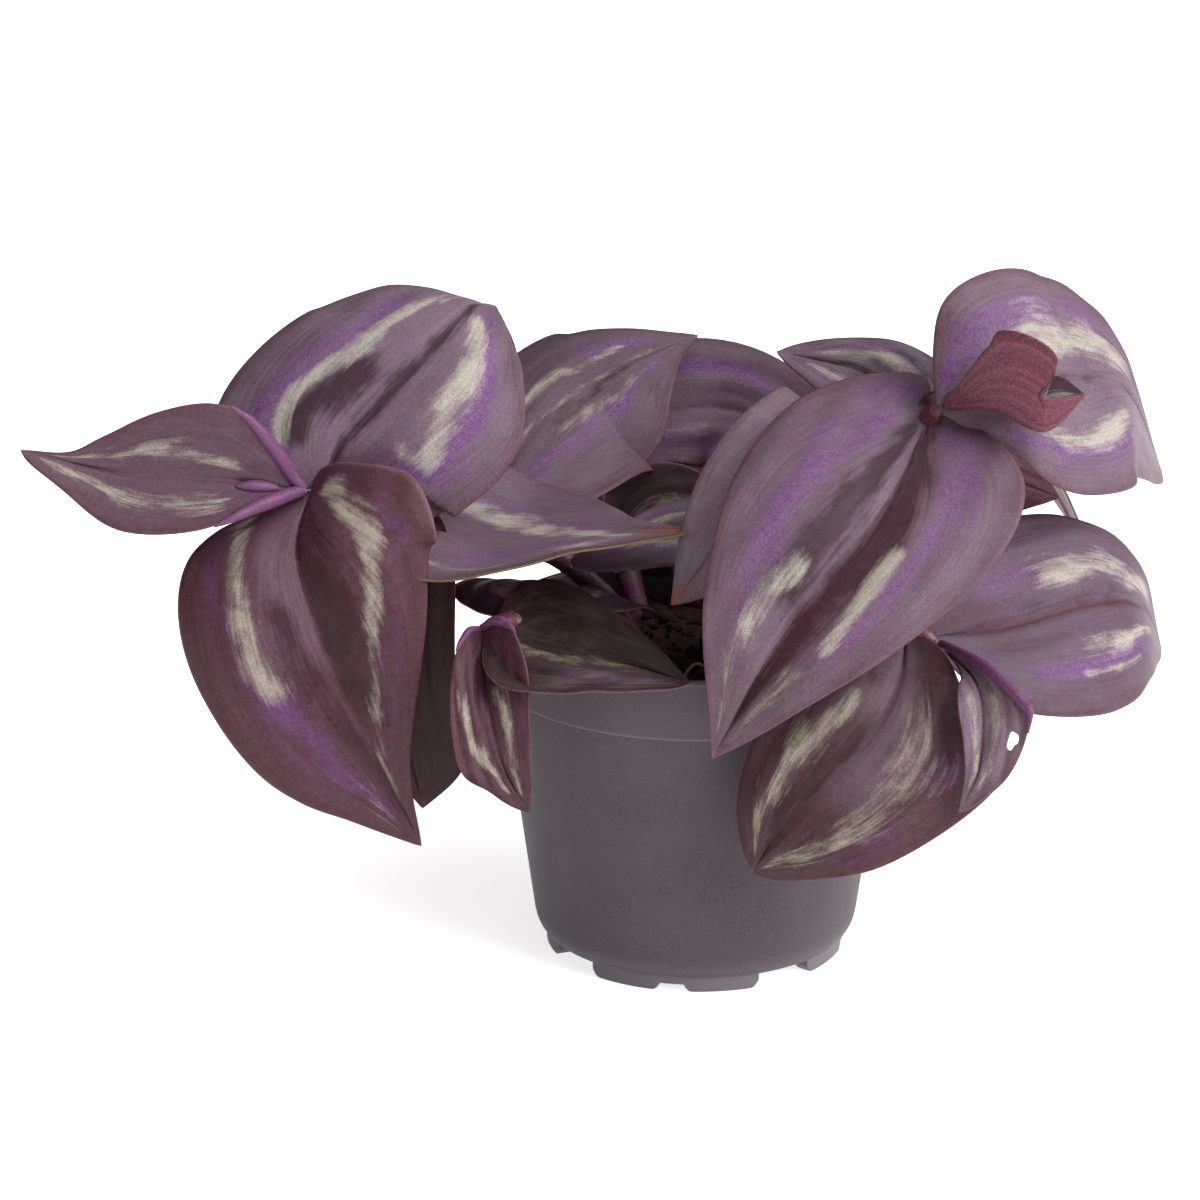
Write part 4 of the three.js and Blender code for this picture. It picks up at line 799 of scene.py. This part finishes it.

# Colour laid on each leaf, with painted shade in dark strokes and painted sheen in some pale ones: colour,
# half width, strength, and its way as places across and along the leaf
strokes = {
    "leaf_left_upper": [
        ("silver", 0.05, 0.9, [
            (-0.56, 0.22), (-0.53, 0.3), (-0.42, 0.38), (-0.37, 0.46), (-0.38, 0.56), (-0.34, 0.68),
        ]),
        ("silver", 0.06, 0.6, [(-0.34, 0.68), (-0.26, 0.78), (-0.2, 0.9)]),
        ("violet", 0.09, 0.8, [(-0.62, 0.2), (-0.6, 0.3), (-0.5, 0.4), (-0.48, 0.5), (-0.5, 0.62)]),
        # the dark strokes along the crease and beside it are painted shade of the fold
        ("dark", 0.08, 1, [(-0.42, 0.24), (-0.33, 0.3), (-0.27, 0.36), (-0.22, 0.4)]),
        ("dark", 0.04, 0.9, [(0.0, 0.1), (0.02, 0.3), (0.0, 0.45), (0.02, 0.65), (0.05, 0.95)]),
        ("silver", 0.075, 0.9, [(0.52, 0.41), (0.38, 0.48), (0.35, 0.56), (0.3, 0.64), (0.24, 0.7)]),
        ("silver", 0.05, 0.7, [(0.6, 0.4), (0.5, 0.37), (0.4, 0.35)]),
        ("violet", 0.08, 0.9, [
            (0.4, 0.3), (0.58, 0.36), (0.68, 0.42), (0.58, 0.5), (0.5, 0.58), (0.42, 0.68), (0.26, 0.74),
        ]),
        ("maroon", 0.12, 0.7, [(0.05, 0.12), (0.25, 0.22), (0.4, 0.3)]),
        ("pale", 0.2, 0.25, [(0.15, 0.35), (0.12, 0.6)]),
    ],
    "leaf_left_hanging": [
        ("silver", 0.08, 0.8, [(-0.8, 0.2), (-0.76, 0.3), (-0.66, 0.38), (-0.55, 0.45), (-0.42, 0.52)]),
        ("silver", 0.05, 0.65, [(-0.42, 0.5), (-0.28, 0.57), (-0.22, 0.64), (-0.15, 0.69)]),
        ("silver", 0.07, 0.55, [(-0.1, 0.73), (-0.05, 0.8), (-0.02, 0.88)]),
        ("violet", 0.07, 0.6, [
            (-0.95, 0.12), (-0.92, 0.3), (-0.82, 0.48), (-0.62, 0.52), (-0.5, 0.6), (-0.32, 0.72),
        ]),
        ("violet", 0.08, 0.7, [(-0.34, 0.6), (-0.22, 0.66), (-0.1, 0.71)]),
        ("dark", 0.22, 0.85, [(-0.35, 0.08), (-0.2, 0.2), (-0.15, 0.35), (-0.12, 0.5), (-0.04, 0.65)]),
        ("olive", 0.12, 0.3, [(-0.2, 0.35), (-0.05, 0.6)]),
        # right of the midrib, the pale stroke is a painted sheen where this half faces the light, and the
        # dark stroke after it is painted shade of the fold
        ("pale", 0.16, 0.3, [(0.25, 0.12), (0.22, 0.25), (0.16, 0.42)]),
        ("dark", 0.1, 0.7, [(0.26, 0.4), (0.2, 0.5), (0.16, 0.62), (0.12, 0.78), (0.08, 0.88)]),
        ("silver", 0.07, 0.75, [(0.84, 0.18), (0.7, 0.25), (0.6, 0.33), (0.52, 0.36)]),
        ("silver", 0.09, 0.8, [(0.5, 0.4), (0.5, 0.46), (0.47, 0.53)]),
        ("olive", 0.12, 0.3, [(0.9, 0.32), (0.85, 0.5)]),
        ("violet", 0.08, 0.6, [(0.96, 0.12), (0.8, 0.28), (0.72, 0.38), (0.62, 0.5), (0.5, 0.6)]),
        ("violet", 0.13, 0.8, [(0.5, 0.58), (0.42, 0.68), (0.46, 0.77), (0.4, 0.86)]),
        ("silver", 0.1, 0.4, [(0.3, 0.82), (0.6, 0.88)]),
    ],
    "leaf_left_young": [
        ("silver", 0.12, 0.7, [(-0.52, 0.4), (-0.5, 0.55), (-0.46, 0.66), (-0.52, 0.76), (-0.5, 0.86)]),
        ("silver", 0.1, 0.6, [(0.24, 0.36), (0.38, 0.5), (0.42, 0.62), (0.46, 0.72), (0.4, 0.86)]),
        ("silver", 0.4, 0.3, [(0, 0.88), (0, 0.95)]),
    ],
    "leaf_centre_upper": [
        ("silver", 0.04, 0.8, [(-0.28, 0.32), (-0.2, 0.42), (-0.17, 0.54), (-0.24, 0.65), (-0.34, 0.74)]),
        ("silver", 0.03, 0.6, [
            (-0.1, 0.2), (0.02, 0.3), (0.06, 0.42), (0.04, 0.58), (-0.02, 0.7), (-0.1, 0.82),
        ]),
        ("silver", 0.06, 0.5, [(0.3, 0.28), (0.28, 0.45), (0.34, 0.6), (0.34, 0.8)]),
        ("violet", 0.1, 0.8, [(-0.42, 0.82), (-0.36, 0.73), (-0.3, 0.6)]),
        ("violet", 0.1, 0.7, [(0.46, 0.18), (0.42, 0.3), (0.4, 0.45), (0.44, 0.62), (0.42, 0.8)]),
        ("dark", 0.05, 0.6, [(0.14, 0.3), (0.15, 0.5), (0.06, 0.7)]),
        ("olive", 0.3, 0.4, [(0.2, 0.2), (0.2, 0.6)]),
    ],
    "leaf_centre_flat": [
        ("silver", 0.1, 0.8, [
            (-0.3, 0.14), (-0.25, 0.28), (-0.18, 0.38), (-0.02, 0.5), (0.15, 0.62), (0.4, 0.76),
        ]),
        ("violet", 0.12, 0.6, [(-0.42, 0.16), (-0.36, 0.3), (-0.1, 0.5), (0.0, 0.66)]),
        ("violet", 0.1, 0.5, [(0.55, 0.3), (0.6, 0.5), (0.55, 0.7)]),
        ("olive", 0.09, 0.9, [(1, 0.1), (1, 0.9)]),
        ("silver", 0.08, 0.5, [(0.75, 0.35), (0.78, 0.55), (0.6, 0.8)]),
        ("wither", 0.16, 0.8, [(0.9, 0.97), (-0.2, 0.99)]),
    ],
    "leaf_centre_back": [
        ("violet", 0.12, 0.8, [(0.5, 0.25), (0.55, 0.42), (0.62, 0.55)]),
        ("violet", 0.12, 0.8, [(-0.56, 0.4), (-0.45, 0.62)]),
        ("olive", 0.3, 0.5, [(0.85, 0.2), (0.85, 0.6)]), ("silver", 0.1, 0.5, [(-0.4, 0.45), (-0.35, 0.7)]),
    ],
    "leaf_rim_young": [
        ("silver", 0.12, 0.7, [(-0.32, 0.33), (-0.36, 0.5), (-0.3, 0.6), (-0.38, 0.74), (-0.3, 0.84)]),
        ("silver", 0.12, 0.75, [(0.62, 0.36), (0.55, 0.48), (0.42, 0.57), (0.38, 0.66), (0.42, 0.78)]),
        ("dark", 0.4, 0.6, [(0.1, 0), (0.1, 0.25)]), ("olive", 0.5, 0.5, [(0, 0.9), (0, 1)]),
    ],
    "leaf_on_rim": [
        ("silver", 0.12, 0.6, [
            (0.32, 0.2), (0.34, 0.35), (0.28, 0.5), (0.16, 0.6), (0.08, 0.7), (0.05, 0.82),
        ]),
        ("violet", 0.12, 0.6, [(0.5, 0.6), (0.6, 0.72), (0.6, 0.8)]),
        ("pale", 0.2, 0.4, [(0.6, 0.7), (0.7, 0.85)]),
        ("maroon", 0.15, 0.9, [(-0.25, 0.1), (-0.18, 0.3), (-0.15, 0.5)]),
        ("dark", 0.3, 0.7, [(-0.5, 0.2), (-0.3, 0.7)]),
    ],
    "leaf_right_large": [
        # left of the midrib, the maroon and dark strokes are painted shade on the shaded half of the fold
        ("maroon", 0.14, 1, [
            (-0.62, 0.05), (-0.42, 0.1), (-0.26, 0.18), (-0.16, 0.3), (-0.15, 0.45), (-0.1, 0.7),
        ]),
        ("dark", 0.11, 0.95, [
            (-0.4, 0.08), (-0.24, 0.16), (-0.14, 0.28), (-0.13, 0.45), (-0.1, 0.65), (-0.06, 0.85),
        ]),
        ("pale", 0.2, 0.25, [(-0.1, 0.02), (0.2, 0.1), (0.2, 0.2)]),
        ("pale", 0.08, 0.15, [(0.1, 0.2), (0.08, 0.4), (0.06, 0.6)]),
        ("violet", 0.12, 0.7, [(-0.78, 0.16), (-0.62, 0.26), (-0.52, 0.34), (-0.42, 0.42)]),
        ("violet", 0.1, 0.7, [(-0.42, 0.45), (-0.48, 0.56), (-0.42, 0.63), (-0.25, 0.67)]),
        ("silver", 0.055, 0.85, [(-0.3, 0.42), (-0.31, 0.5), (-0.34, 0.58), (-0.4, 0.64)]),
        ("silver", 0.12, 0.55, [(-0.34, 0.72), (-0.34, 0.8), (-0.32, 0.9)]),
        ("olive", 0.2, 0.6, [(-0.34, 0.8), (-0.3, 0.92)]),
        ("dark", 0.1, 0.95, [(0.5, 0.13), (0.36, 0.2), (0.28, 0.28), (0.2, 0.42), (0.17, 0.56)]),
        ("violet", 0.12, 0.72, [(0.84, 0.16), (0.7, 0.26), (0.62, 0.36), (0.52, 0.46), (0.42, 0.54)]),
        ("violet", 0.12, 0.5, [(0.5, 0.54), (0.45, 0.7)]),
        ("silver", 0.06, 0.75, [(0.2, 0.52), (0.26, 0.6), (0.32, 0.68)]),
        ("olive", 0.15, 0.4, [(0.36, 0.8), (0.3, 0.92)]),
        ("silver", 0.1, 0.5, [(0.32, 0.7), (0.36, 0.78), (0.34, 0.9)]),
        ("maroon", 0.5, 0.5, [(-0.6, 0.92), (0.6, 0.92)]),
    ],
    "leaf_behind_left": [
        # painted shade: this leaf lies in deep shadow
        ("dark", 0.7, 1, [(0.3, 0), (0.3, 0.7)]), ("olive", 0.5, 0.6, [(-0.4, 0.5), (-0.4, 0.9)]),
    ],
    "leaf_centre_dark": [
        # the broad dark stroke is painted shade: this leaf lies in shadow
        ("dark", 0.9, 0.5, [(0, 0.1), (0, 0.9)]), ("silver", 0.12, 0.6, [(0.35, 0.3), (0.4, 0.7)]),
        ("silver", 0.12, 0.6, [(-0.35, 0.3), (-0.4, 0.7)]),
    ],
    "leaf_right_upper": [
        ("violet", 0.12, 0.9, [(-0.72, 0.1), (-0.66, 0.2), (-0.6, 0.32), (-0.58, 0.42), (-0.5, 0.5)]),
        ("silver", 0.15, 0.85, [(-0.42, 0.38), (-0.42, 0.5), (-0.4, 0.6), (-0.42, 0.72)]),
        ("violet", 0.12, 0.6, [(-0.7, 0.6), (-0.58, 0.68), (-0.7, 0.76)]),
        ("silver", 0.09, 0.8, [(0.4, 0.34), (0.5, 0.45), (0.5, 0.56), (0.46, 0.66)]),
        ("violet", 0.09, 0.8, [(0.62, 0.2), (0.6, 0.3), (0.62, 0.42), (0.64, 0.62)]),
        ("maroon", 0.15, 0.8, [(0.2, 0.02), (0.4, 0.12)]),
        ("maroon", 0.12, 0.8, [(-0.98, 0.05), (-0.95, 0.2)]),
        ("dark", 0.04, 0.5, [(-0.04, 0.2), (-0.04, 0.5), (-0.04, 0.78)]),
    ],
    "leaf_side_upper": [
        ("silver", 0.14, 0.75, [(-0.35, 0.44), (-0.4, 0.55), (-0.42, 0.62), (-0.34, 0.7), (-0.5, 0.79)]),
        ("violet", 0.14, 0.6, [(-0.55, 0.28), (-0.4, 0.4)]),
        ("maroon", 0.03, 1, [(0.0, 0.15), (0.03, 0.3), (0.03, 0.8)]),
        ("dark", 0.08, 0.4, [(-0.1, 0.35), (-0.1, 0.7)]),
        ("maroon", 0.2, 0.7, [(-0.6, 0.05), (-0.3, 0.15), (0, 0.2)]),
        ("silver", 0.07, 0.75, [(0.4, 0.44), (0.42, 0.58), (0.42, 0.75)]),
        ("silver", 0.04, 0.6, [(0.64, 0.42), (0.66, 0.62)]),
        ("violet", 0.08, 0.8, [(0.6, 0.32), (0.55, 0.5), (0.5, 0.68)]),
    ],
    "leaf_side_hanging": [
        ("silver", 0.13, 0.65, [
            (-0.4, 0.35), (-0.46, 0.45), (-0.5, 0.52), (-0.44, 0.62), (-0.5, 0.74), (-0.45, 0.86),
        ]),
        ("violet", 0.1, 0.6, [(-0.62, 0.46), (-0.36, 0.42)]),
        ("violet", 0.12, 0.5, [(-0.62, 0.62), (-0.7, 0.7)]),
        ("dark", 0.12, 0.85, [(0.03, 0.46), (0.08, 0.6), (0.06, 0.75), (0.03, 0.86)]),
        ("pale", 0.2, 0.35, [(-0.1, 0.08), (0.1, 0.2)]), ("pale", 0.12, 0.3, [(-0.15, 0.25), (-0.2, 0.5)]),
        ("silver", 0.1, 0.65, [(0.28, 0.43), (0.34, 0.55), (0.36, 0.66), (0.46, 0.74), (0.5, 0.84)]),
        ("dark", 0.3, 0.9, [(0.8, 0.3), (0.8, 0.6), (0.85, 0.75)]),
        ("olive", 0.5, 0.5, [(-0.3, 0.85), (0.3, 0.85)]),
    ],
    "leaf_side_young": [
        ("silver", 0.12, 0.7, [(-0.25, 0.4), (-0.32, 0.55), (-0.4, 0.75)]),
        ("pale", 0.6, 0.45, [(0.2, 0.3), (0.2, 0.85)]),
        ("silver", 0.12, 0.75, [(0.42, 0.38), (0.34, 0.5), (0.25, 0.64), (0.3, 0.8)]),
        ("maroon", 0.25, 1, [(-0.9, 0.25), (-0.4, 0.42)]), ("violet", 0.15, 0.5, [(0.75, 0.3), (0.7, 0.7)]),
        ("olive", 0.4, 0.4, [(-0.4, 0.9), (0.4, 0.9)]),
    ],
    "leaf_right_strip": [
        ("olive", 0.2, 0.6, [(-0.9, 0.05), (-0.9, 0.8)]),
        ("silver", 0.1, 0.7, [(-0.55, 0.1), (-0.6, 0.4), (-0.4, 0.8)]),
        ("violet", 0.1, 0.6, [(-0.7, 0.2), (-0.75, 0.6)]),
        ("wither", 0.12, 0.8, [(-0.6, 0.99), (0.6, 0.99)]),
    ],
}

# Lengths are in mm; cells are the faces across and along a leaf, fewer for the leaves at the back
blade = {
    "thickness": 0.42, "cellsAcross": 28, "cellsAlong": 36, "backAcross": 20, "backAlong": 26,
    "curlSteps": 8, "rollFrom": 0.5, "pleat": 0.2, "pleats": 21, "wave": 0.7, "witheredTip": 0.03,
    "wither": 0.25, "groove": 0.5, "grooveWidth": 0.1, "sheath": 3.2, "sheathWall": 0.35,
    "sheathStops": 6, "sheathSides": 4, "merge": 0.02,
}
rolledUp = {"fullness": (0.75, 0.5, 1.1), "points": 8, "stops": 24, "sides": 4}  # a rolled margin's radius
tones = {"dark": 0, "maroon": 0.15, "olive": 0, "pale": 0}  # where a leaf's row gives none
softEdge = {"middle": 1.15, "slope": 0.42, "none": 9.0}  # how a stroke fades across its half width


def bladePoint(leaf, u, v, seed):
    outline = leaf.get("outline", (heart, heart))[0 if u < 0 else 1]
    side, ahead = smoothThrough([[0, 0], *outline, [0, 1]], v)
    spot = (1 - u * u) * v + u * u * ahead
    t = min(max(spot, 0), 1)
    forward = directionOf(leaf["midrib"], t)
    point = Vector(smoothThrough(leaf["midrib"], t)) + forward * min(spot, 0) * leaf["length"]
    up = Vector(smoothThrough(leaf["facing"], t))
    up = (up - forward * up.dot(forward)).normalized()
    beside = forward.cross(up) * (-1 if u < 0 else 1)
    fold, curl, roll = smoothThrough(leaf.get("left" if u < 0 else "right") or leaf["sides"], t)
    reach, steps = abs(u) * side, blade["curlSteps"]
    sideways = lift = 0
    for k in range(steps):
        s = reach * (k + 0.5) / steps
        rolled = max(s - blade["rollFrom"], 0) / (1 - blade["rollFrom"])
        angle = math.radians(fold + curl * s + roll * rolled)
        sideways += math.cos(angle) * reach / steps
        lift += math.sin(angle) * reach / steps
    half = leaf["width"] / 2
    taper = math.sin(math.pi * min(max(v, 0), 1)) ** 0.6 * min(side * 1.6, 1)
    pleats = blade["pleat"] * math.cos(reach * blade["pleats"]) * taper * min(abs(u) * 6, 1)
    waves = leaf.get("wave", blade["wave"]) * noise.noise(Vector((u * 1.7, v * 2.6, seed * 7.3))) * taper
    ends = min(v * 12, 1) * min((1 - v) * 6, 1)
    groove = -blade["groove"] * max(1 - abs(u) / blade["grooveWidth"], 0) * ends
    return point + beside * sideways * half + up * (lift * half + pleats + waves + groove)


def plainStrokes(draw, youngLeaf):
    # the bands of a leaf with no strokes of its own: alike on both sides, but never quite the same
    rows = []
    for side in (-1, 1):
        for colour, width, strength, places in (
            ("silver", 0.1, 0.8, (0.42, 0.52, 0.45, 0.4)), ("violet", 0.13, 0.75, (0.62, 0.68, 0.62, 0.5)),
            ("dark", 0.07, 0.6, (0.08, 0.1, 0.08, 0.04)),
        ):
            if youngLeaf and colour == "violet":
                continue
            shift, start, end = draw.uniform(-0.06, 0.06), draw.uniform(0.08, 0.2), draw.uniform(0.75, 0.92)
            path = [
                (side * (u + shift + draw.uniform(-0.03, 0.03)), start + (end - start) * k / 3)
                for k, u in enumerate(places)
            ]
            rows.append((colour, width * draw.uniform(0.8, 1.2), strength, path))
    return rows


def paintLeaf(mesh, name, leaf, seed):
    # how much silver, violet and dark lies at each point, and the skin's tone there; the dark is partly
    # painted shade, the pale tone partly painted sheen
    count = len(mesh.vertices)
    across, along = np.zeros(count), np.zeros(count)
    mesh.attributes["across"].data.foreach_get("value", across)
    mesh.attributes["along"].data.foreach_get("value", along)
    stretch = 2 * leaf["length"] / leaf["width"]
    spots = np.column_stack([across, along * stretch])
    masks = {colour: np.zeros(count) for colour in ("silver", "violet", "wither")}
    masks.update({tone: np.full(count, float(leaf.get(tone, usual))) for tone, usual in tones.items()})
    rows = strokes.get(name) or plainStrokes(random.Random(seed), "_young" in name)
    for colour, halfWidth, strength, path in rows:
        away = np.full(count, softEdge["none"])
        stops = [np.array((u, v * stretch)) for u, v in path]
        for start, end in zip(stops, stops[1:]):
            step = end - start
            share = np.clip((spots - start) @ step / (step @ step), 0, 1)
            away = np.minimum(away, np.linalg.norm(spots - start - share[:, None] * step, axis=1))
        side = min((u for u, v in path), key=abs)
        if all(u * side > 0 for u, v in path):
            away[across * side < 0] = softEdge["none"]  # the fold at the midrib stops the colour, so painted shade stays on one half of a fold
        laidOn = np.clip(softEdge["middle"] - softEdge["slope"] * away / halfWidth, 0, 1) * strength
        masks[colour] = np.maximum(masks[colour], laidOn)
    tip = np.clip(1 - (1 - along) / blade["witheredTip"], 0, 1)
    masks["wither"] = np.maximum(masks["wither"], tip ** 0.7 * leaf.get("wither", blade["wither"]))
    for attribute, names in (("bands", ("silver", "violet", "dark")), ("tones", ("maroon", "olive", "pale"))):
        colours = np.column_stack([masks[colour] for colour in names] + [np.ones(count)])
        mesh.attributes.new(attribute, "FLOAT_COLOR", "POINT").data.foreach_set("color", colours.ravel())
    mesh.attributes.new("wither", "FLOAT", "POINT").data.foreach_set("value", masks["wither"])


def biteHole(piece, middleU, middleV, halfU, halfV):
    # a hole that an insect left: the cells of the blade in an oval are taken out
    pick(piece)
    bpy.ops.object.mode_set(mode="EDIT")
    bpy.ops.mesh.select_all(action="DESELECT")
    bpy.ops.object.mode_set(mode="OBJECT")
    across, along = (piece.data.attributes[name].data for name in ("across", "along"))
    for face in piece.data.polygons:
        u = sum(across[k].value for k in face.vertices) / len(face.vertices)
        v = sum(along[k].value for k in face.vertices) / len(face.vertices)
        face.select = ((u - middleU) / halfU) ** 2 + ((v - middleV) / halfV) ** 2 < 1
    bpy.ops.object.mode_set(mode="EDIT")
    bpy.ops.mesh.select_mode(type="FACE")
    bpy.ops.mesh.delete(type="FACE")
    bpy.ops.mesh.select_mode(type="VERT")
    bpy.ops.object.mode_set(mode="OBJECT")


def rolledMargins(leaf, seed):
    # a young leaf opens from its tip, so near its base each margin is still rolled up like a tube
    rolls, (base, middle, tip) = [], rolledUp["fullness"]
    for side, start, end, radius in leaf.get("rolls", ()):
        places = [start + (end - start) * k / rolledUp["points"] for k in range(rolledUp["points"] + 1)]
        path = [bladePoint(leaf, side, v, seed) for v in places]
        roll = tube(
            "roll", path, lambda t: radius * (base + middle * t - tip * t ** 4),
            0, 1, rolledUp["stops"], rolledUp["sides"],
        )
        roll.data.materials.append(lowerSkins["magenta"])
        rolls.append(roll)
    return rolls


def makeLeaf(name, leaf, seed):
    path = stems[leaf["stem"]]
    leaf["midrib"].insert(0, smoothThrough(path, leaf["at"]))
    leaf["length"] = lengthOf(leaf["midrib"])
    back = "back_" in name
    columns = blade["backAcross" if back else "cellsAcross"]
    rows = blade["backAlong" if back else "cellsAlong"]
    deselectAll()
    bpy.ops.mesh.primitive_grid_add(x_subdivisions=columns, y_subdivisions=rows, size=2)
    piece = bpy.context.object
    mesh = piece.data
    across = mesh.attributes.new("across", "FLOAT", "POINT")
    along = mesh.attributes.new("along", "FLOAT", "POINT")
    for vertex in mesh.vertices:
        u, v = vertex.co.x, (vertex.co.y + 1) / 2
        across.data[vertex.index].value, along.data[vertex.index].value = u, v
        vertex.co = place(bladePoint(leaf, u, v, seed))
    mesh.materials.append(upperSkin)
    mesh.materials.append(lowerSkins[leaf.get("under", "red")])
    mesh.materials.append(marginSkins[leaf.get("margin", "maroon")])
    pick(piece)
    bpy.ops.object.mode_set(mode="EDIT")
    bpy.ops.mesh.select_all(action="SELECT")
    bpy.ops.mesh.remove_doubles(threshold=blade["merge"] * mm)
    bpy.ops.object.mode_set(mode="OBJECT")
    if "bite" in leaf:
        biteHole(piece, *leaf["bite"])
    addModifier(
        piece, "SOLIDIFY", thickness=blade["thickness"] * mm, offset=0,
        material_offset=1, material_offset_rim=2, use_even_offset=False,
    )
    addModifier(piece, "SUBSURF", levels=1, render_levels=1)
    paintLeaf(mesh, name, leaf, seed)
    pick(piece)
    bpy.ops.object.shade_smooth()
    parts = rolledMargins(leaf, seed)
    if leaf["at"] < 1:
        start = leaf["at"] - blade["sheath"] / lengthOf(path)
        thick = blade["sheathWall"] / (leaf["at"] - start)
        sheath = tube(
            "sheath", path, lambda t: stemRadius(leaf["stem"], t) + thick * (leaf["at"] - t),
            start, leaf["at"], blade["sheathStops"], blade["sheathSides"],
        )
        sheath.data.materials.append(lowerSkins[leaf.get("under", "red")])
        parts.append(sheath)
    piece = joined([piece, *parts])
    finishMesh(piece)
    return piece


for seed, (name, leaf) in enumerate(leaves.items()):
    handOver(makeLeaf(name, leaf, seed), name)
print("leaves ready")


table = {"size": 12, "gap": 0.05, "colour": "#fbfbfb", "roughness": 0.8, "light": "#ffffff", "glow": 0.75}
deselectAll()
bpy.ops.mesh.primitive_plane_add(size=table["size"], location=(0, 0, -table["gap"] * mm))
floor = bpy.context.object
floor.name = "floor"
material, tree, paper = newMaterial("litWhiteAcrylicTable")  # white sheet lit from below: shadows stay faint
setSockets(tree, paper, {
    "Base Color": table["colour"], "Roughness": table["roughness"],
    "Emission Color": table["light"], "Emission Strength": table["glow"],
})
floor.data.materials.append(material)

room = {"dimmer": "#141414", "brighter": "#ffffff", "from": -0.6, "to": 0.9, "strength": 0.45}
world = bpy.data.worlds.new("softRoom")
bpy.context.scene.world = world
world.use_nodes = True
tree = world.node_tree
sideways = addNode(tree, "SeparateXYZ", {0: addNode(tree, "TexCoord", output="Generated")})
# the room is brighter on the right
glow = laid(tree, room["dimmer"], room["brighter"], sideways, 1, room["from"], room["to"])
setSockets(tree, tree.nodes["Background"], {0: glow, 1: room["strength"]})

# wide, far lamps: where each shines from, how wide it looks in degrees, and its strength
lamps = {
    "overhead": {"from": (0.3, -0.05, 1), "angle": 90, "strength": 1.8},
    "keyRight": {"from": (0.8, -0.38, 0.62), "angle": 50, "strength": 3.5},
}
for name, lamp in lamps.items():
    data = bpy.data.lights.new(name, "SUN")
    data.angle, data.energy = math.radians(lamp["angle"]), lamp["strength"]
    light = bpy.data.objects.new(name, data)
    light.rotation_euler = (-Vector(lamp["from"])).to_track_quat("-Z", "Y").to_euler()
    bpy.context.collection.objects.link(light)

view = {"at": (0, -582.6, 240.8), "tilt": 72.088, "turn": 1.401, "lens": 125.76, "sensor": 36, "reach": 50}
camera = bpy.data.objects.new("photoCamera", bpy.data.cameras.new("photoCamera"))
camera.location = place(view["at"])
camera.rotation_euler = (math.radians(view["tilt"]), 0, math.radians(view["turn"]))
camera.data.lens, camera.data.sensor_width, camera.data.clip_end = view["lens"], view["sensor"], view["reach"]
bpy.context.collection.objects.link(camera)
bpy.context.scene.camera = camera
bpy.context.scene.view_settings.view_transform = "Standard"
print("stage ready")
